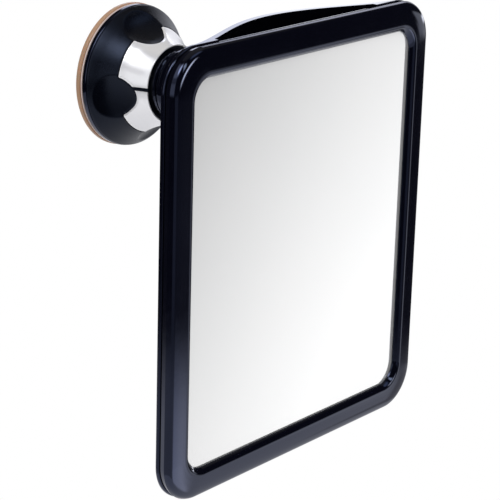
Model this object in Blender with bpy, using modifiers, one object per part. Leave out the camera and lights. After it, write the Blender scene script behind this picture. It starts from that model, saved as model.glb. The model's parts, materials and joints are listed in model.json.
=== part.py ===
"""Fogless shower mirror on a twist-lock suction mount, a standalone script for Blender 4.5.

The wall is the plane y = 0, the origin is the centre of the suction pad's wall face, +z is up
and the mirror looks along -y. Lengths are in metres.

Every piece is modelled in the wall frame, whose x is the world's x, whose y points up and whose
z points out of the wall. One empty, wall_frame, turns that frame into the world's.
"""
import math

import bmesh
import bpy

# Clearances and cutters
FIT_GAP = 0.0003
SWEEP_GAP = 0.0006
OVERRUN = 0.0030
MERGE_DISTANCE = 0.00001

# Mirror head, seen from the front
FRAME_WIDTH = 0.1804
FRAME_HEIGHT = 0.2038
BEZEL_WIDTH = 0.0135
OPENING_CORNER_RADIUS = 0.0100
OUTER_CORNER_RADIUS = 0.0190
CORNER_STEPS = 8

# Mirror head, in depth from the mirror's face
CREST_HEIGHT = 0.0030
MIRROR_THICKNESS = 0.0020
MIRROR_OVERLAP = 0.0040
GASKET_THICKNESS = 0.0008
GASKET_WIDTH = 0.0070
SHELL_FLANGE = 0.0022
SHELL_EDGE_ROUND = 0.0008

# Reservoir bulge of the rear shell
BULGE_DEPTH = 0.0188
BULGE_SINK = 0.0008
BULGE_WALL = 0.0028
BULGE_POWER = 1.4
WATER_HALF_WIDTH = 0.0560
MOUTH_WALL = 0.0012
MOUTH_STRIP = 0.0100
BULGE_ACROSS = 24
BULGE_ALONG = 18

# Suction mount, measured out from the wall
PAD_OVERHANG = 0.0003
PAD_THICKNESS = 0.0025
DIAPHRAGM_INSET = 0.0001
DIAPHRAGM_THICKNESS = 0.0007
BASE_RADIUS = 0.0339
BASE_RIM_HEIGHT = 0.0025
BASE_WEB_RISE = 0.0019
BASE_WEB_THICKNESS = 0.0020
BASE_RIM_WIDTH = 0.0095
BASE_WALL = 0.0018

# Pull stem and its cross pin
STEM_RADIUS = 0.0046
STEM_FLANGE_RADIUS = 0.0110
STEM_FLANGE_THICKNESS = 0.0015
STEM_TRAVEL = 0.0025
PIN_RADIUS = 0.00125
STEM_HEADROOM = 0.0031

# Guide tube and twist knob
GUIDE_WALL = 0.0061
CAM_WALL = 0.0027
CAM_HEIGHT = 0.00595
HUB_WALL = 0.0020
KNOB_RIM_INSET = 0.0002
KNOB_NECK_STEP = 0.0010
KNOB_HEIGHT = 0.0244
KNOB_RIM_WALL = 0.0021
TWIST_ANGLE = math.radians(90)
CAM_REST_ANGLE = math.radians(15)
CAM_DROP_ANGLE = math.radians(5)
CAM_STEP_ANGLE = math.radians(6)
COLLAR_WALL = 0.0006
COLLAR_GAP = 0.0004
COLLAR_SEAM_WIDTH = 0.0014
COLLAR_SEAM_ANGLE = math.radians(180)

# Finger scallops round the knob
SCALLOP_COUNT = 4
SCALLOP_FIRST_ANGLE = math.radians(101)
SCALLOP_DEPTH = 0.0035
SCALLOP_ACROSS = 0.0225
SCALLOP_ALONG = 0.0140
SCALLOP_THROUGH = 0.0100
SCALLOP_SEGMENTS = 36
SCALLOP_RINGS = 20

# Ball joint
WASHER_THICKNESS = 0.0006
WASHER_INSET = 0.0020
NECK_FLANGE_INSET = 0.0010
NECK_FLANGE_THICKNESS = 0.0026
NECK_FLOOR = 0.0045
BALL_RADIUS = 0.0100
SEAT_THICKNESS = 0.0013
SOCKET_WALL = 0.0023
NUT_WALL = 0.0032
NUT_RING_DEPTH = 0.0008
NUT_RING_COUNT = 4
NUT_LIP = 0.0015
STUD_RADIUS = 0.0040
STUD_LENGTH = 0.0348
STUD_FLANGE_RADIUS = 0.0070
STUD_FLANGE_THICKNESS = 0.0020
FRICTION_WASHER_THICKNESS = 0.0010
PAN_LIMIT = math.radians(25)
TILT_LIMIT = math.radians(20)
MOUTH_MARGIN = math.radians(3)
SEAT_REACH = math.radians(87)
SEAT_HOLE_ANGLE = math.radians(17)

# Swivel boss on the rear shell
AXIS_BELOW_TOP = 0.0411
BOSS_RADIUS = 0.0205
BOSS_NOSE_WALL = 0.0032
BOSS_HEIGHT = 0.0178
BOSS_FLANGE = 0.0030
SHELL_PAD_MARGIN = 0.0015
SHELL_PAD_THICKNESS = 0.0075

# Screws
NECK_SCREW_RADIUS = 0.0011
NECK_SCREW_HEAD_RADIUS = 0.0022
NECK_SCREW_HEAD_HEIGHT = 0.0014
NECK_SCREW_LENGTH = 0.0085
NECK_SCREW_COUNT = 3
NECK_SCREW_INSET = 0.0030
BOSS_SCREW_RADIUS = 0.00125
BOSS_SCREW_HEAD_RADIUS = 0.0024
BOSS_SCREW_HEAD_HEIGHT = 0.0014
BOSS_SCREW_LENGTH = 0.0080
BOSS_SCREW_COUNT = 4
BOSS_SCREW_INSET = 0.0047
SHELL_SCREW_RADIUS = 0.0011
SHELL_SCREW_HEAD_RADIUS = 0.0023
SHELL_SCREW_HEAD_HEIGHT = 0.0012
SHELL_SCREW_LENGTH = 0.0046
SHELL_SCREW_INSET = 0.0036

# Facets of round pieces
ROUND_STEPS = 40
SMALL_STEPS = 28
SCREW_STEPS = 12
ARC_STEPS = 6
SHARP_ANGLE = math.radians(40)

# Shares of the sizes that they follow
ARCH_SHARES = (
    (0.0, 0.38), (0.10, 0.60), (0.22, 0.86), (0.30, 0.97), (0.36, 1.0), (0.46, 0.99),
    (0.60, 0.93), (0.75, 0.80), (0.88, 0.58), (0.96, 0.25), (1.0, -0.20),
)
KNOB_FLANK_SHARES = (
    (1.0, 0.0), (0.985, 0.028), (0.915, 0.08), (0.765, 0.19), (0.595, 0.328),
    (0.433, 0.475), (0.258, 0.62), (0.125, 0.775), (0.042, 0.905), (0.0, 1.0),
)
COLLAR_START = 5
KNOB_CAVITY_SHARES = ((1.0, 0.05), (0.60, 0.17), (0.20, 0.33))
SCALLOP_PLACE_SHARES = (0.53, 0.53)
BOSS_FLANK_SHARES = ((0.0, 1.0), (0.12, 0.78), (0.42, 0.38), (1.0, 0.19))
NUT_RING_SHARES = (0.6, 0.7, 0.9)
SHELL_SIDE_SCREW_SHARES = (-0.74, 0.0, 0.74)
SHELL_BOTTOM_SCREW_SHARES = (-0.5, 0.5)
BULGE_SHOULDER_SHARE = 0.40
BULGE_FOOT_SHARE = -0.90
LINER_HEIGHT_SHARE = 0.48
EDGE_ROUND_SHARE = 0.2
SCREW_TIP_SHARE = 0.5
SCREW_CROWN_SHARE = 0.75

# Places along the mount's axis, out from the wall
DIAPHRAGM_OUT = PAD_THICKNESS + FIT_GAP
BASE_OUT = DIAPHRAGM_OUT + DIAPHRAGM_THICKNESS + FIT_GAP
BASE_RIM_OUT = BASE_OUT + BASE_RIM_HEIGHT
WEB_BOTTOM = BASE_RIM_OUT + BASE_WEB_RISE
WEB_TOP = WEB_BOTTOM + BASE_WEB_THICKNESS
KNOB_OUT = BASE_RIM_OUT + FIT_GAP
KNOB_TOP = KNOB_OUT + KNOB_HEIGHT
KNOB_SEAT = KNOB_TOP - FIT_GAP
WASHER_OUT = KNOB_SEAT + FIT_GAP
GUIDE_TOP = WASHER_OUT + WASHER_THICKNESS
NECK_OUT = GUIDE_TOP + FIT_GAP
NUT_OUT = NECK_OUT + NECK_FLANGE_THICKNESS + FIT_GAP
CAM_OUT = WEB_TOP + FIT_GAP
CAM_REST = CAM_OUT + CAM_HEIGHT
PIN_OUT = CAM_REST + FIT_GAP + PIN_RADIUS
HUB_ROOF = PIN_OUT + STEM_TRAVEL + PIN_RADIUS + SWEEP_GAP
STEM_TOP = NECK_OUT - STEM_TRAVEL - STEM_HEADROOM
NECK_SCREW_SEAT = NECK_OUT + NECK_FLANGE_THICKNESS

# Radii round the mount's axis
PAD_RADIUS = BASE_RADIUS + PAD_OVERHANG
DIAPHRAGM_RADIUS = BASE_RADIUS - DIAPHRAGM_INSET
BASE_WEB_RADIUS = BASE_RADIUS - BASE_RIM_WIDTH
KNOB_RIM_RADIUS = BASE_RADIUS - KNOB_RIM_INSET
GUIDE_BORE = STEM_RADIUS + FIT_GAP
GUIDE_RADIUS = GUIDE_BORE + GUIDE_WALL
NECK_SCREW_CIRCLE = GUIDE_RADIUS - NECK_SCREW_INSET
CAM_BORE = GUIDE_RADIUS + FIT_GAP
CAM_RADIUS = CAM_BORE + CAM_WALL
HUB_BORE = CAM_RADIUS + FIT_GAP
HUB_RADIUS = HUB_BORE + HUB_WALL
PIN_LENGTH = 2 * (CAM_RADIUS - FIT_GAP)

# Ball joint, with heights from the ball's centre
SEAT_INNER = BALL_RADIUS + FIT_GAP
SEAT_OUTER = SEAT_INNER + SEAT_THICKNESS
SOCKET_CAVITY = SEAT_OUTER + FIT_GAP
SOCKET_RADIUS = SOCKET_CAVITY + SOCKET_WALL
NUT_BORE = SOCKET_RADIUS + FIT_GAP
NUT_RADIUS = NUT_BORE + NUT_WALL
KNOB_NECK_RADIUS = NUT_RADIUS + KNOB_NECK_STEP
NECK_FLANGE_RADIUS = NUT_RADIUS - NECK_FLANGE_INSET
THRUST_WASHER_RADIUS = NECK_FLANGE_RADIUS - WASHER_INSET
BALL_OUT = NECK_OUT + NECK_FLOOR + SOCKET_CAVITY
SOCKET_RISE = 2 * FIT_GAP
LINER_RISE = SOCKET_RISE + FIT_GAP
LINER_TOP = LINER_RISE + BALL_RADIUS * LINER_HEIGHT_SHARE
SWING_LIMIT = math.acos(math.cos(PAN_LIMIT) * math.cos(TILT_LIMIT))
STUD_ANGLE = math.asin(STUD_RADIUS / BALL_RADIUS)
MOUTH_ANGLE = SWING_LIMIT + STUD_ANGLE + MOUTH_MARGIN
SEAT_EDGE_ANGLE = SEAT_REACH - PAN_LIMIT

# Mirror head, with heights from the mirror's face and places from its centre
OPENING_WIDTH = FRAME_WIDTH - 2 * BEZEL_WIDTH
OPENING_HEIGHT = FRAME_HEIGHT - 2 * BEZEL_WIDTH
BULGE_HALF_WIDTH = FRAME_WIDTH / 2 - OUTER_CORNER_RADIUS
AXIS_ABOVE_MIRROR_CENTRE = FRAME_HEIGHT / 2 - AXIS_BELOW_TOP
POCKET_EDGE = MIRROR_OVERLAP + 4 * FIT_GAP
GASKET_FRONT = -(MIRROR_THICKNESS + FIT_GAP)
BEZEL_SIDE_DEPTH = MIRROR_THICKNESS + GASKET_THICKNESS + 2 * FIT_GAP
SHELL_FRONT = -(BEZEL_SIDE_DEPTH + FIT_GAP)
SHELL_BACK = SHELL_FRONT - SHELL_FLANGE
SHELL_SCREW_SEAT = SHELL_BACK + SHELL_SCREW_HEAD_HEIGHT
PAD_FACE = SHELL_BACK - BULGE_DEPTH
BOSS_BACK = PAD_FACE - FIT_GAP
WASHER_BOTTOM = BOSS_BACK - FRICTION_WASHER_THICKNESS
STUD_TOP = WASHER_BOTTOM - FIT_GAP
MIRROR_OUT = BALL_OUT + STUD_LENGTH - STUD_TOP

# Radii round the stud's axis
BOSS_NOSE_RADIUS = STUD_RADIUS + FIT_GAP + BOSS_NOSE_WALL
BOSS_SCREW_CIRCLE = BOSS_RADIUS - BOSS_SCREW_INSET
SHELL_PAD_RADIUS = BOSS_RADIUS + SHELL_PAD_MARGIN


def new_collection(name):
    """A collection linked to the scene."""
    collection = bpy.data.collections.new(name)
    bpy.context.scene.collection.children.link(collection)
    return collection


def material(name, color, roughness, metallic=0.0):
    """A Principled material with the piece's colour and finish."""
    result = bpy.data.materials.new(name)
    result.use_nodes = True
    shader = result.node_tree.nodes["Principled BSDF"]
    shader.inputs["Base Color"].default_value = (*color, 1.0)
    shader.inputs["Roughness"].default_value = roughness
    shader.inputs["Metallic"].default_value = metallic
    result.diffuse_color = (*color, 1.0)
    return result


def place(name, data, parent=None, finish=None, location=(0, 0, 0)):
    """An object of the model, carried by its parent empty."""
    obj = bpy.data.objects.new(name, data)
    PARTS.objects.link(obj)
    obj.parent = parent
    obj.location = location
    if finish is not None:
        obj.data.materials.append(finish)
    return obj


def place_cutter(name, data, parent=None, location=(0, 0, 0)):
    """A guide that only shapes other pieces."""
    obj = bpy.data.objects.new(name, data)
    CUTTERS.objects.link(obj)
    obj.parent = parent
    obj.location = location
    obj.hide_render = True
    obj.display_type = "WIRE"
    return obj


def boolean(obj, cutter, operation="DIFFERENCE"):
    """Cut, join or trim a piece by another closed shape."""
    modifier = obj.modifiers.new(cutter.name, "BOOLEAN")
    modifier.operation = operation
    modifier.object = cutter
    return modifier


def arc(radius, start, end, steps, centre=0.0):
    """Points (radius, height) on a circle round the axis, by angle from the +z axis."""
    points = []
    for step in range(steps + 1):
        angle = start + (end - start) * step / steps
        points.append((radius * math.sin(angle), centre + radius * math.cos(angle)))
    return points


def finished_mesh(name, form):
    """The mesh that an edit form holds; the form is freed."""
    mesh = bpy.data.meshes.new(name)
    form.to_mesh(mesh)
    form.free()
    return mesh


def screw_profile(name, profile, closed):
    """A mesh of the profile's edges, for turning round z."""
    mesh = bpy.data.meshes.new(name)
    edges = [(index, index + 1) for index in range(len(profile) - 1)]
    if closed:
        edges.append((len(profile) - 1, 0))
    mesh.from_pydata([(radius, 0, height) for radius, height in profile], edges, [])
    return mesh


def turn(obj, steps):
    """Turn an object's profile round z."""
    modifier = obj.modifiers.new("Turn", "SCREW")
    modifier.axis = "Z"
    modifier.steps = steps
    modifier.render_steps = steps
    modifier.use_merge_vertices = True
    modifier.merge_threshold = MERGE_DISTANCE
    modifier.use_smooth_shade = True
    return obj


def turned(name, profile, parent, finish, closed=True, steps=ROUND_STEPS):
    """A piece turned round its z axis; the profile runs down the outer side."""
    return turn(place(name, screw_profile(name, profile, closed), parent, finish), steps)


def rounded_rectangle(width, height, radius):
    """Points of a rectangle with round corners, anticlockwise from the right side."""
    points = []
    for quarter in range(4):
        side_x = 1 if quarter in (0, 3) else -1
        side_y = 1 if quarter in (0, 1) else -1
        centre_x = side_x * (width / 2 - radius)
        centre_y = side_y * (height / 2 - radius)
        for step in range(CORNER_STEPS + 1):
            angle = math.pi / 2 * (quarter + step / CORNER_STEPS)
            points.append((centre_x + radius * math.cos(angle), centre_y + radius * math.sin(angle)))
    return points


def outline(outward):
    """The opening's outline moved outward; its corners grow towards the frame's outer corners."""
    growth = (OUTER_CORNER_RADIUS - OPENING_CORNER_RADIUS) * outward / BEZEL_WIDTH
    return rounded_rectangle(OPENING_WIDTH + 2 * outward, OPENING_HEIGHT + 2 * outward,
                             OPENING_CORNER_RADIUS + growth)


def outline_curve(name, points):
    """A closed flat curve through points."""
    curve = bpy.data.curves.new(name, "CURVE")
    curve.dimensions = "2D"
    spline = curve.splines.new("POLY")
    spline.points.add(len(points) - 1)
    for target, (x, y) in zip(spline.points, points):
        target.co = (x, y, 0, 1)
    spline.use_cyclic_u = True
    return curve


def mesh_of(curve):
    """The closed mesh that a curve makes; the curve is removed."""
    holder = bpy.data.objects.new(curve.name, curve)
    bpy.context.scene.collection.objects.link(holder)
    evaluated = holder.evaluated_get(bpy.context.evaluated_depsgraph_get())
    mesh = bpy.data.meshes.new_from_object(evaluated)
    mesh.name = curve.name
    bpy.data.objects.remove(holder)
    bpy.data.curves.remove(curve)
    form = bmesh.new()
    form.from_mesh(mesh)
    bmesh.ops.remove_doubles(form, verts=form.verts, dist=MERGE_DISTANCE)
    bmesh.ops.recalc_face_normals(form, faces=form.faces)
    form.to_mesh(mesh)
    form.free()
    return mesh


def loft(name, sections):
    """A closed shape through loops of points, shaded smooth; the last loop joins the first."""
    form = bmesh.new()
    loops = [[form.verts.new(point) for point in section] for section in sections]
    for index, section in enumerate(loops):
        following = loops[(index + 1) % len(loops)]
        for corner in range(len(section)):
            after = (corner + 1) % len(section)
            form.faces.new((section[corner], section[after], following[after], following[corner]))
    bmesh.ops.recalc_face_normals(form, faces=form.faces)
    mesh = finished_mesh(name, form)
    mesh.shade_smooth()
    mesh.set_sharp_from_angle(angle=SHARP_ANGLE)
    return mesh


def plate_mesh(name, points, back, front, edge_round=0.0):
    """A flat plate of an outline between two heights, with its edges rounded if asked."""
    curve = outline_curve(name, points)
    curve.fill_mode = "BOTH"
    curve.extrude = (front - back) / 2 - edge_round
    curve.bevel_depth = edge_round
    curve.bevel_resolution = 1
    curve.offset = -edge_round
    mesh = mesh_of(curve)
    for vertex in mesh.vertices:
        vertex.co.z += (front + back) / 2
    return mesh


def ring_mesh(name, profile):
    """A frame round the opening; its profile points are (outward from the opening, height)."""
    return loft(name, [[(x, y, height) for x, y in outline(outward)] for outward, height in profile])


def drills(name, places, radius, start, end, parent, steps=SCREW_STEPS):
    """One cutter of parallel round holes from start to end along z."""
    form = bmesh.new()
    for x, y in places:
        made = bmesh.ops.create_cone(
            form, cap_ends=True, segments=steps, radius1=radius, radius2=radius, depth=end - start)
        bmesh.ops.translate(form, verts=made["verts"], vec=(x, y, (start + end) / 2))
    return place_cutter(name, finished_mesh(name, form), parent)


def box_cutter(name, low, high, parent):
    """A box cutter between two corners."""
    form = bmesh.new()
    bmesh.ops.create_cube(form, size=1.0)
    size = [top - bottom for bottom, top in zip(low, high)]
    middle = [(top + bottom) / 2 for bottom, top in zip(low, high)]
    bmesh.ops.scale(form, vec=size, verts=form.verts)
    bmesh.ops.translate(form, vec=middle, verts=form.verts)
    return place_cutter(name, finished_mesh(name, form), parent)


def circle_places(count, radius, first_angle=0.0):
    """Points spaced evenly on a circle."""
    places = []
    for index in range(count):
        angle = first_angle + 2 * math.pi * index / count
        places.append((radius * math.cos(angle), radius * math.sin(angle)))
    return places


def screw_outline(radius, head_radius, head_height, length):
    """Profile of a screw that points along +z from the face where its head bears."""
    tip = radius * SCREW_TIP_SHARE
    return [
        (0, length), (tip, length), (radius, length - tip), (radius, 0), (head_radius, 0),
        (head_radius, -head_height / 2), (head_radius * SCREW_CROWN_SHARE, -head_height),
        (0, -head_height),
    ]


def screws(name, profile, places, seat, points_out, parent):
    """Equal screws whose heads bear at seat; they point out of the wall or to it."""
    for index, (x, y) in enumerate(places, start=1):
        screw = turned(f"{name}_{index}", profile, parent, STEEL, closed=False, steps=SCREW_STEPS)
        screw.location = (x, y, seat)
        if not points_out:
            screw.rotation_euler = (math.pi, 0, 0)


def round_disc(radius, bottom, top):
    """Profile of a disc whose edge is slightly rounded."""
    edge = (top - bottom) * EDGE_ROUND_SHARE
    return [(0, top), (radius - edge, top), (radius, top - edge), (radius, bottom + edge),
            (radius - edge, bottom), (0, bottom)]


def make_pad(parent):
    """The tacky gel pad that meets the wall, and the pale diaphragm that backs it."""
    turned("gel_pad", round_disc(PAD_RADIUS, 0, PAD_THICKNESS), parent, TAN_GEL, closed=False)
    profile = round_disc(DIAPHRAGM_RADIUS, DIAPHRAGM_OUT, DIAPHRAGM_OUT + DIAPHRAGM_THICKNESS)
    turned("cup_diaphragm", profile, parent, PALE_RUBBER, closed=False)


def make_stem(parent):
    """The stem that pulls the diaphragm, and the pin across it."""
    foot = BASE_OUT
    edge = STEM_FLANGE_THICKNESS * EDGE_ROUND_SHARE
    profile = [
        (0, STEM_TOP), (STEM_RADIUS - edge, STEM_TOP), (STEM_RADIUS, STEM_TOP - edge),
        (STEM_RADIUS, foot + STEM_FLANGE_THICKNESS),
        (STEM_FLANGE_RADIUS - edge, foot + STEM_FLANGE_THICKNESS),
        (STEM_FLANGE_RADIUS, foot + STEM_FLANGE_THICKNESS - edge), (STEM_FLANGE_RADIUS, foot),
        (0, foot),
    ]
    stem = turned("pull_stem", profile, parent, STEEL, closed=False, steps=SMALL_STEPS)
    hole = drills("stem_hole", [(0, 0)], PIN_RADIUS + FIT_GAP, -STEM_RADIUS - OVERRUN,
                  STEM_RADIUS + OVERRUN, parent)
    hole.location = (0, 0, PIN_OUT)
    hole.rotation_euler = (0, math.pi / 2, 0)
    boolean(stem, hole)
    half = PIN_LENGTH / 2
    pin = turned("cross_pin", [(0, half), (PIN_RADIUS, half), (PIN_RADIUS, -half), (0, -half)],
                 parent, STEEL, closed=False, steps=SCREW_STEPS)
    pin.location = (0, 0, PIN_OUT)
    pin.rotation_euler = (0, math.pi / 2, 0)


def make_base(parent):
    """The glossy base: its rim, raised web and the guide tube that carries the neck."""
    edge = BASE_RIM_HEIGHT * EDGE_ROUND_SHARE
    rim_inner = BASE_WEB_RADIUS - BASE_WALL
    profile = [
        (GUIDE_RADIUS, GUIDE_TOP), (GUIDE_RADIUS, WEB_TOP), (BASE_WEB_RADIUS, WEB_TOP),
        (BASE_WEB_RADIUS, BASE_RIM_OUT), (BASE_RADIUS - edge, BASE_RIM_OUT),
        (BASE_RADIUS, BASE_RIM_OUT - edge), (BASE_RADIUS, BASE_OUT + edge),
        (BASE_RADIUS - edge, BASE_OUT), (rim_inner, BASE_OUT), (rim_inner, WEB_BOTTOM),
        (GUIDE_BORE, WEB_BOTTOM), (GUIDE_BORE, GUIDE_TOP),
    ]
    base = turned("base_housing", profile, parent, GLOSS_BLACK)
    slot_half = PIN_RADIUS + FIT_GAP
    slot = box_cutter(
        "pin_slot", (-GUIDE_RADIUS - OVERRUN, -slot_half, PIN_OUT - slot_half),
        (GUIDE_RADIUS + OVERRUN, slot_half, PIN_OUT + STEM_TRAVEL + slot_half), parent)
    boolean(base, slot)
    places = circle_places(NECK_SCREW_COUNT, NECK_SCREW_CIRCLE, math.pi / 2)
    holes = drills("neck_screw_holes", places, NECK_SCREW_RADIUS + FIT_GAP,
                   NECK_SCREW_SEAT - NECK_SCREW_LENGTH - FIT_GAP, GUIDE_TOP + OVERRUN, parent)
    boolean(base, holes)


def cam_height(angle):
    """Height of the cam ring's ramp; two equal ramps rise with the angle round the axis."""
    turn_angle = (angle + CAM_REST_ANGLE) % math.pi - CAM_REST_ANGLE
    if turn_angle <= 0:
        rise = 0.0
    elif turn_angle <= TWIST_ANGLE:
        rise = turn_angle / TWIST_ANGLE
    elif turn_angle <= TWIST_ANGLE + CAM_REST_ANGLE:
        rise = 1.0
    else:
        rise = max(0.0, 1.0 - (turn_angle - TWIST_ANGLE - CAM_REST_ANGLE) / CAM_DROP_ANGLE)
    return CAM_REST + rise * STEM_TRAVEL


def cam_angles():
    """Angles of the cam ring's sections: even steps, and each corner of the two ramps."""
    corners = (0.0, TWIST_ANGLE, TWIST_ANGLE + CAM_REST_ANGLE,
               TWIST_ANGLE + CAM_REST_ANGLE + CAM_DROP_ANGLE)
    angles = [half * math.pi + corner for half in range(2) for corner in corners]
    count = round(2 * math.pi / CAM_STEP_ANGLE)
    for index in range(count):
        angle = index * 2 * math.pi / count
        if min(abs(angle - corner) for corner in angles) > CAM_STEP_ANGLE / 4:
            angles.append(angle)
    return sorted(angles)


def make_cam(parent):
    """The cam ring: a loft of rectangular sections whose top follows the two ramps."""
    sections = []
    for angle in cam_angles():
        top = cam_height(angle)
        corners = ((CAM_RADIUS, top), (CAM_RADIUS, CAM_OUT), (CAM_BORE, CAM_OUT), (CAM_BORE, top))
        sections.append([(radius * math.cos(angle), radius * math.sin(angle), height)
                         for radius, height in corners])
    place("cam_ring", loft("cam_ring", sections), parent, WHITE_ACETAL)


def knob_flank(index):
    """A point (radius, height) of the knob's outer flank."""
    across, along = KNOB_FLANK_SHARES[index]
    radius = KNOB_NECK_RADIUS + (KNOB_RIM_RADIUS - KNOB_NECK_RADIUS) * across
    return radius, KNOB_OUT + KNOB_HEIGHT * along


def cavity_point(share):
    """A point of the knob's hollow, between the hub and the rim."""
    across, along = share
    outer = KNOB_RIM_RADIUS - KNOB_RIM_WALL
    return HUB_RADIUS + (outer - HUB_RADIUS) * across, KNOB_OUT + KNOB_HEIGHT * along


def scallop_cutters(parent):
    """The four dished finger grips, as flattened balls sunk into the knob's flank."""
    rim_radius, rim_height = knob_flank(2)
    neck_radius, neck_height = knob_flank(7)
    along_share, height_share = SCALLOP_PLACE_SHARES
    radius = rim_radius + (neck_radius - rim_radius) * along_share
    height = rim_height + (neck_height - rim_height) * height_share
    slope = math.atan2(neck_height - rim_height, rim_radius - neck_radius)
    lift = SCALLOP_THROUGH - SCALLOP_DEPTH
    centre_radius = radius + lift * math.sin(slope)
    centre_height = height + lift * math.cos(slope)
    cutters = []
    for index in range(SCALLOP_COUNT):
        angle = SCALLOP_FIRST_ANGLE + 2 * math.pi * index / SCALLOP_COUNT
        name = f"scallop_{index + 1}"
        form = bmesh.new()
        bmesh.ops.create_uvsphere(form, u_segments=SCALLOP_SEGMENTS, v_segments=SCALLOP_RINGS, radius=1)
        bmesh.ops.scale(form, vec=(SCALLOP_THROUGH, SCALLOP_ACROSS, SCALLOP_ALONG), verts=form.verts)
        cutter = place_cutter(name, finished_mesh(name, form), parent)
        cutter.location = (centre_radius * math.cos(angle), centre_radius * math.sin(angle), centre_height)
        cutter.rotation_euler = (0, slope - math.pi / 2, angle)
        cutters.append(cutter)
    return cutters


def make_knob(parent):
    """The twist knob and the bright collar that wraps its upper flank."""
    flank = [knob_flank(index) for index in range(len(KNOB_FLANK_SHARES))]
    seat_inset = COLLAR_WALL + COLLAR_GAP
    seat = [(radius - seat_inset, min(height, KNOB_SEAT)) for radius, height in flank[COLLAR_START:]]
    step_radius, step_height = flank[COLLAR_START]
    below = step_height - FIT_GAP
    outer = [(GUIDE_RADIUS + FIT_GAP, KNOB_SEAT)] + seat[::-1]
    outer[-1] = (step_radius - seat_inset, below)
    outer += [(step_radius + FIT_GAP, below)] + flank[COLLAR_START - 1::-1]
    hollow_outer = KNOB_RIM_RADIUS - KNOB_RIM_WALL
    hollow = [cavity_point(share) for share in KNOB_CAVITY_SHARES]
    inner = [(hollow_outer, KNOB_OUT)] + hollow + [
        (HUB_RADIUS, hollow[-1][1]), (HUB_RADIUS, CAM_OUT), (HUB_BORE, CAM_OUT),
        (HUB_BORE, HUB_ROOF), (GUIDE_RADIUS + FIT_GAP, HUB_ROOF),
    ]
    knob = turned("twist_knob", outer + inner, parent, SATIN_BLACK)
    collar_outer = flank[:COLLAR_START - 1:-1]
    collar_inner = [(radius - COLLAR_WALL, height) for radius, height in flank[COLLAR_START:]]
    collar = turned("chrome_collar", collar_outer + collar_inner, parent, CHROME)
    for cutter in scallop_cutters(parent):
        boolean(knob, cutter)
        boolean(collar, cutter)
    seam = box_cutter("collar_seam", (0, -COLLAR_SEAM_WIDTH / 2, KNOB_OUT),
                      (KNOB_RIM_RADIUS, COLLAR_SEAM_WIDTH / 2, KNOB_TOP + OVERRUN), parent)
    seam.rotation_euler = (0, 0, COLLAR_SEAM_ANGLE)
    boolean(collar, seam)


def make_neck(parent):
    """The thrust washer, the socket of the ball joint and the screws that hold it to the base."""
    washer_bore = GUIDE_RADIUS + FIT_GAP
    turned("thrust_washer", [
        (THRUST_WASHER_RADIUS, GUIDE_TOP), (THRUST_WASHER_RADIUS, WASHER_OUT),
        (washer_bore, WASHER_OUT), (washer_bore, GUIDE_TOP)], parent, WHITE_ACETAL)
    cavity = arc(SOCKET_CAVITY, math.pi, math.pi / 2, ARC_STEPS, BALL_OUT)
    flange_top = NECK_OUT + NECK_FLANGE_THICKNESS
    edge = NECK_FLANGE_THICKNESS * EDGE_ROUND_SHARE
    profile = [(0, BALL_OUT - SOCKET_CAVITY)] + cavity[1:] + [
        (SOCKET_CAVITY, BALL_OUT + SOCKET_RISE), (SOCKET_RADIUS, BALL_OUT + SOCKET_RISE),
        (SOCKET_RADIUS, flange_top), (NECK_FLANGE_RADIUS - edge, flange_top),
        (NECK_FLANGE_RADIUS, flange_top - edge), (NECK_FLANGE_RADIUS, NECK_OUT + edge),
        (NECK_FLANGE_RADIUS - edge, NECK_OUT), (0, NECK_OUT),
    ]
    socket = turned("ball_socket", profile, parent, GLOSS_BLACK, closed=False)
    places = circle_places(NECK_SCREW_COUNT, NECK_SCREW_CIRCLE, math.pi / 2)
    boolean(socket, drills("neck_screw_bores", places, NECK_SCREW_RADIUS + FIT_GAP,
                           NECK_OUT - OVERRUN, BALL_OUT, parent))
    boolean(socket, drills("neck_screw_heads", places, NECK_SCREW_HEAD_RADIUS + FIT_GAP,
                           NECK_SCREW_SEAT - FIT_GAP, BALL_OUT, parent))
    profile = screw_outline(NECK_SCREW_RADIUS, NECK_SCREW_HEAD_RADIUS, NECK_SCREW_HEAD_HEIGHT,
                            NECK_SCREW_LENGTH)
    screws("neck_screw", profile, places, NECK_SCREW_SEAT, False, parent)


def make_nut(parent, nut_parent):
    """The ringed lock nut and the liner that it presses on the ball."""
    front_height = BALL_OUT + LINER_TOP + FIT_GAP
    lip_slope = math.tan(MOUTH_ANGLE)
    lip_inner = (LINER_TOP + FIT_GAP) * lip_slope
    face_inner = (LINER_TOP + FIT_GAP + NUT_LIP) * lip_slope
    edge = NUT_WALL / 2
    outer = [(face_inner, front_height + NUT_LIP), (NUT_RADIUS - edge, front_height + NUT_LIP)]
    pitch = (front_height + NUT_LIP - edge - NUT_OUT) / NUT_RING_COUNT
    crest, valley, rise = [pitch * share for share in NUT_RING_SHARES]
    for ring in range(NUT_RING_COUNT):
        top = front_height + NUT_LIP - edge - ring * pitch
        outer += [(NUT_RADIUS, top), (NUT_RADIUS, top - crest),
                  (NUT_RADIUS - NUT_RING_DEPTH, top - valley),
                  (NUT_RADIUS - NUT_RING_DEPTH, top - rise)]
    outer[-1] = (NUT_RADIUS - NUT_RING_DEPTH, NUT_OUT)
    inner = [(NUT_BORE, NUT_OUT), (NUT_BORE, front_height), (lip_inner, front_height)]
    turned("lock_nut", outer + inner, nut_parent, GLOSS_BLACK)
    lowest = math.acos(LINER_RISE / SEAT_INNER)
    highest = math.acos(LINER_TOP / SEAT_INNER)
    bore = arc(SEAT_INNER, lowest, highest, ARC_STEPS // 2, BALL_OUT)
    liner = [(SOCKET_RADIUS, BALL_OUT + LINER_TOP), (SOCKET_RADIUS, BALL_OUT + LINER_RISE)]
    turned("nut_liner", liner + bore, parent, WHITE_ACETAL)


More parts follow.
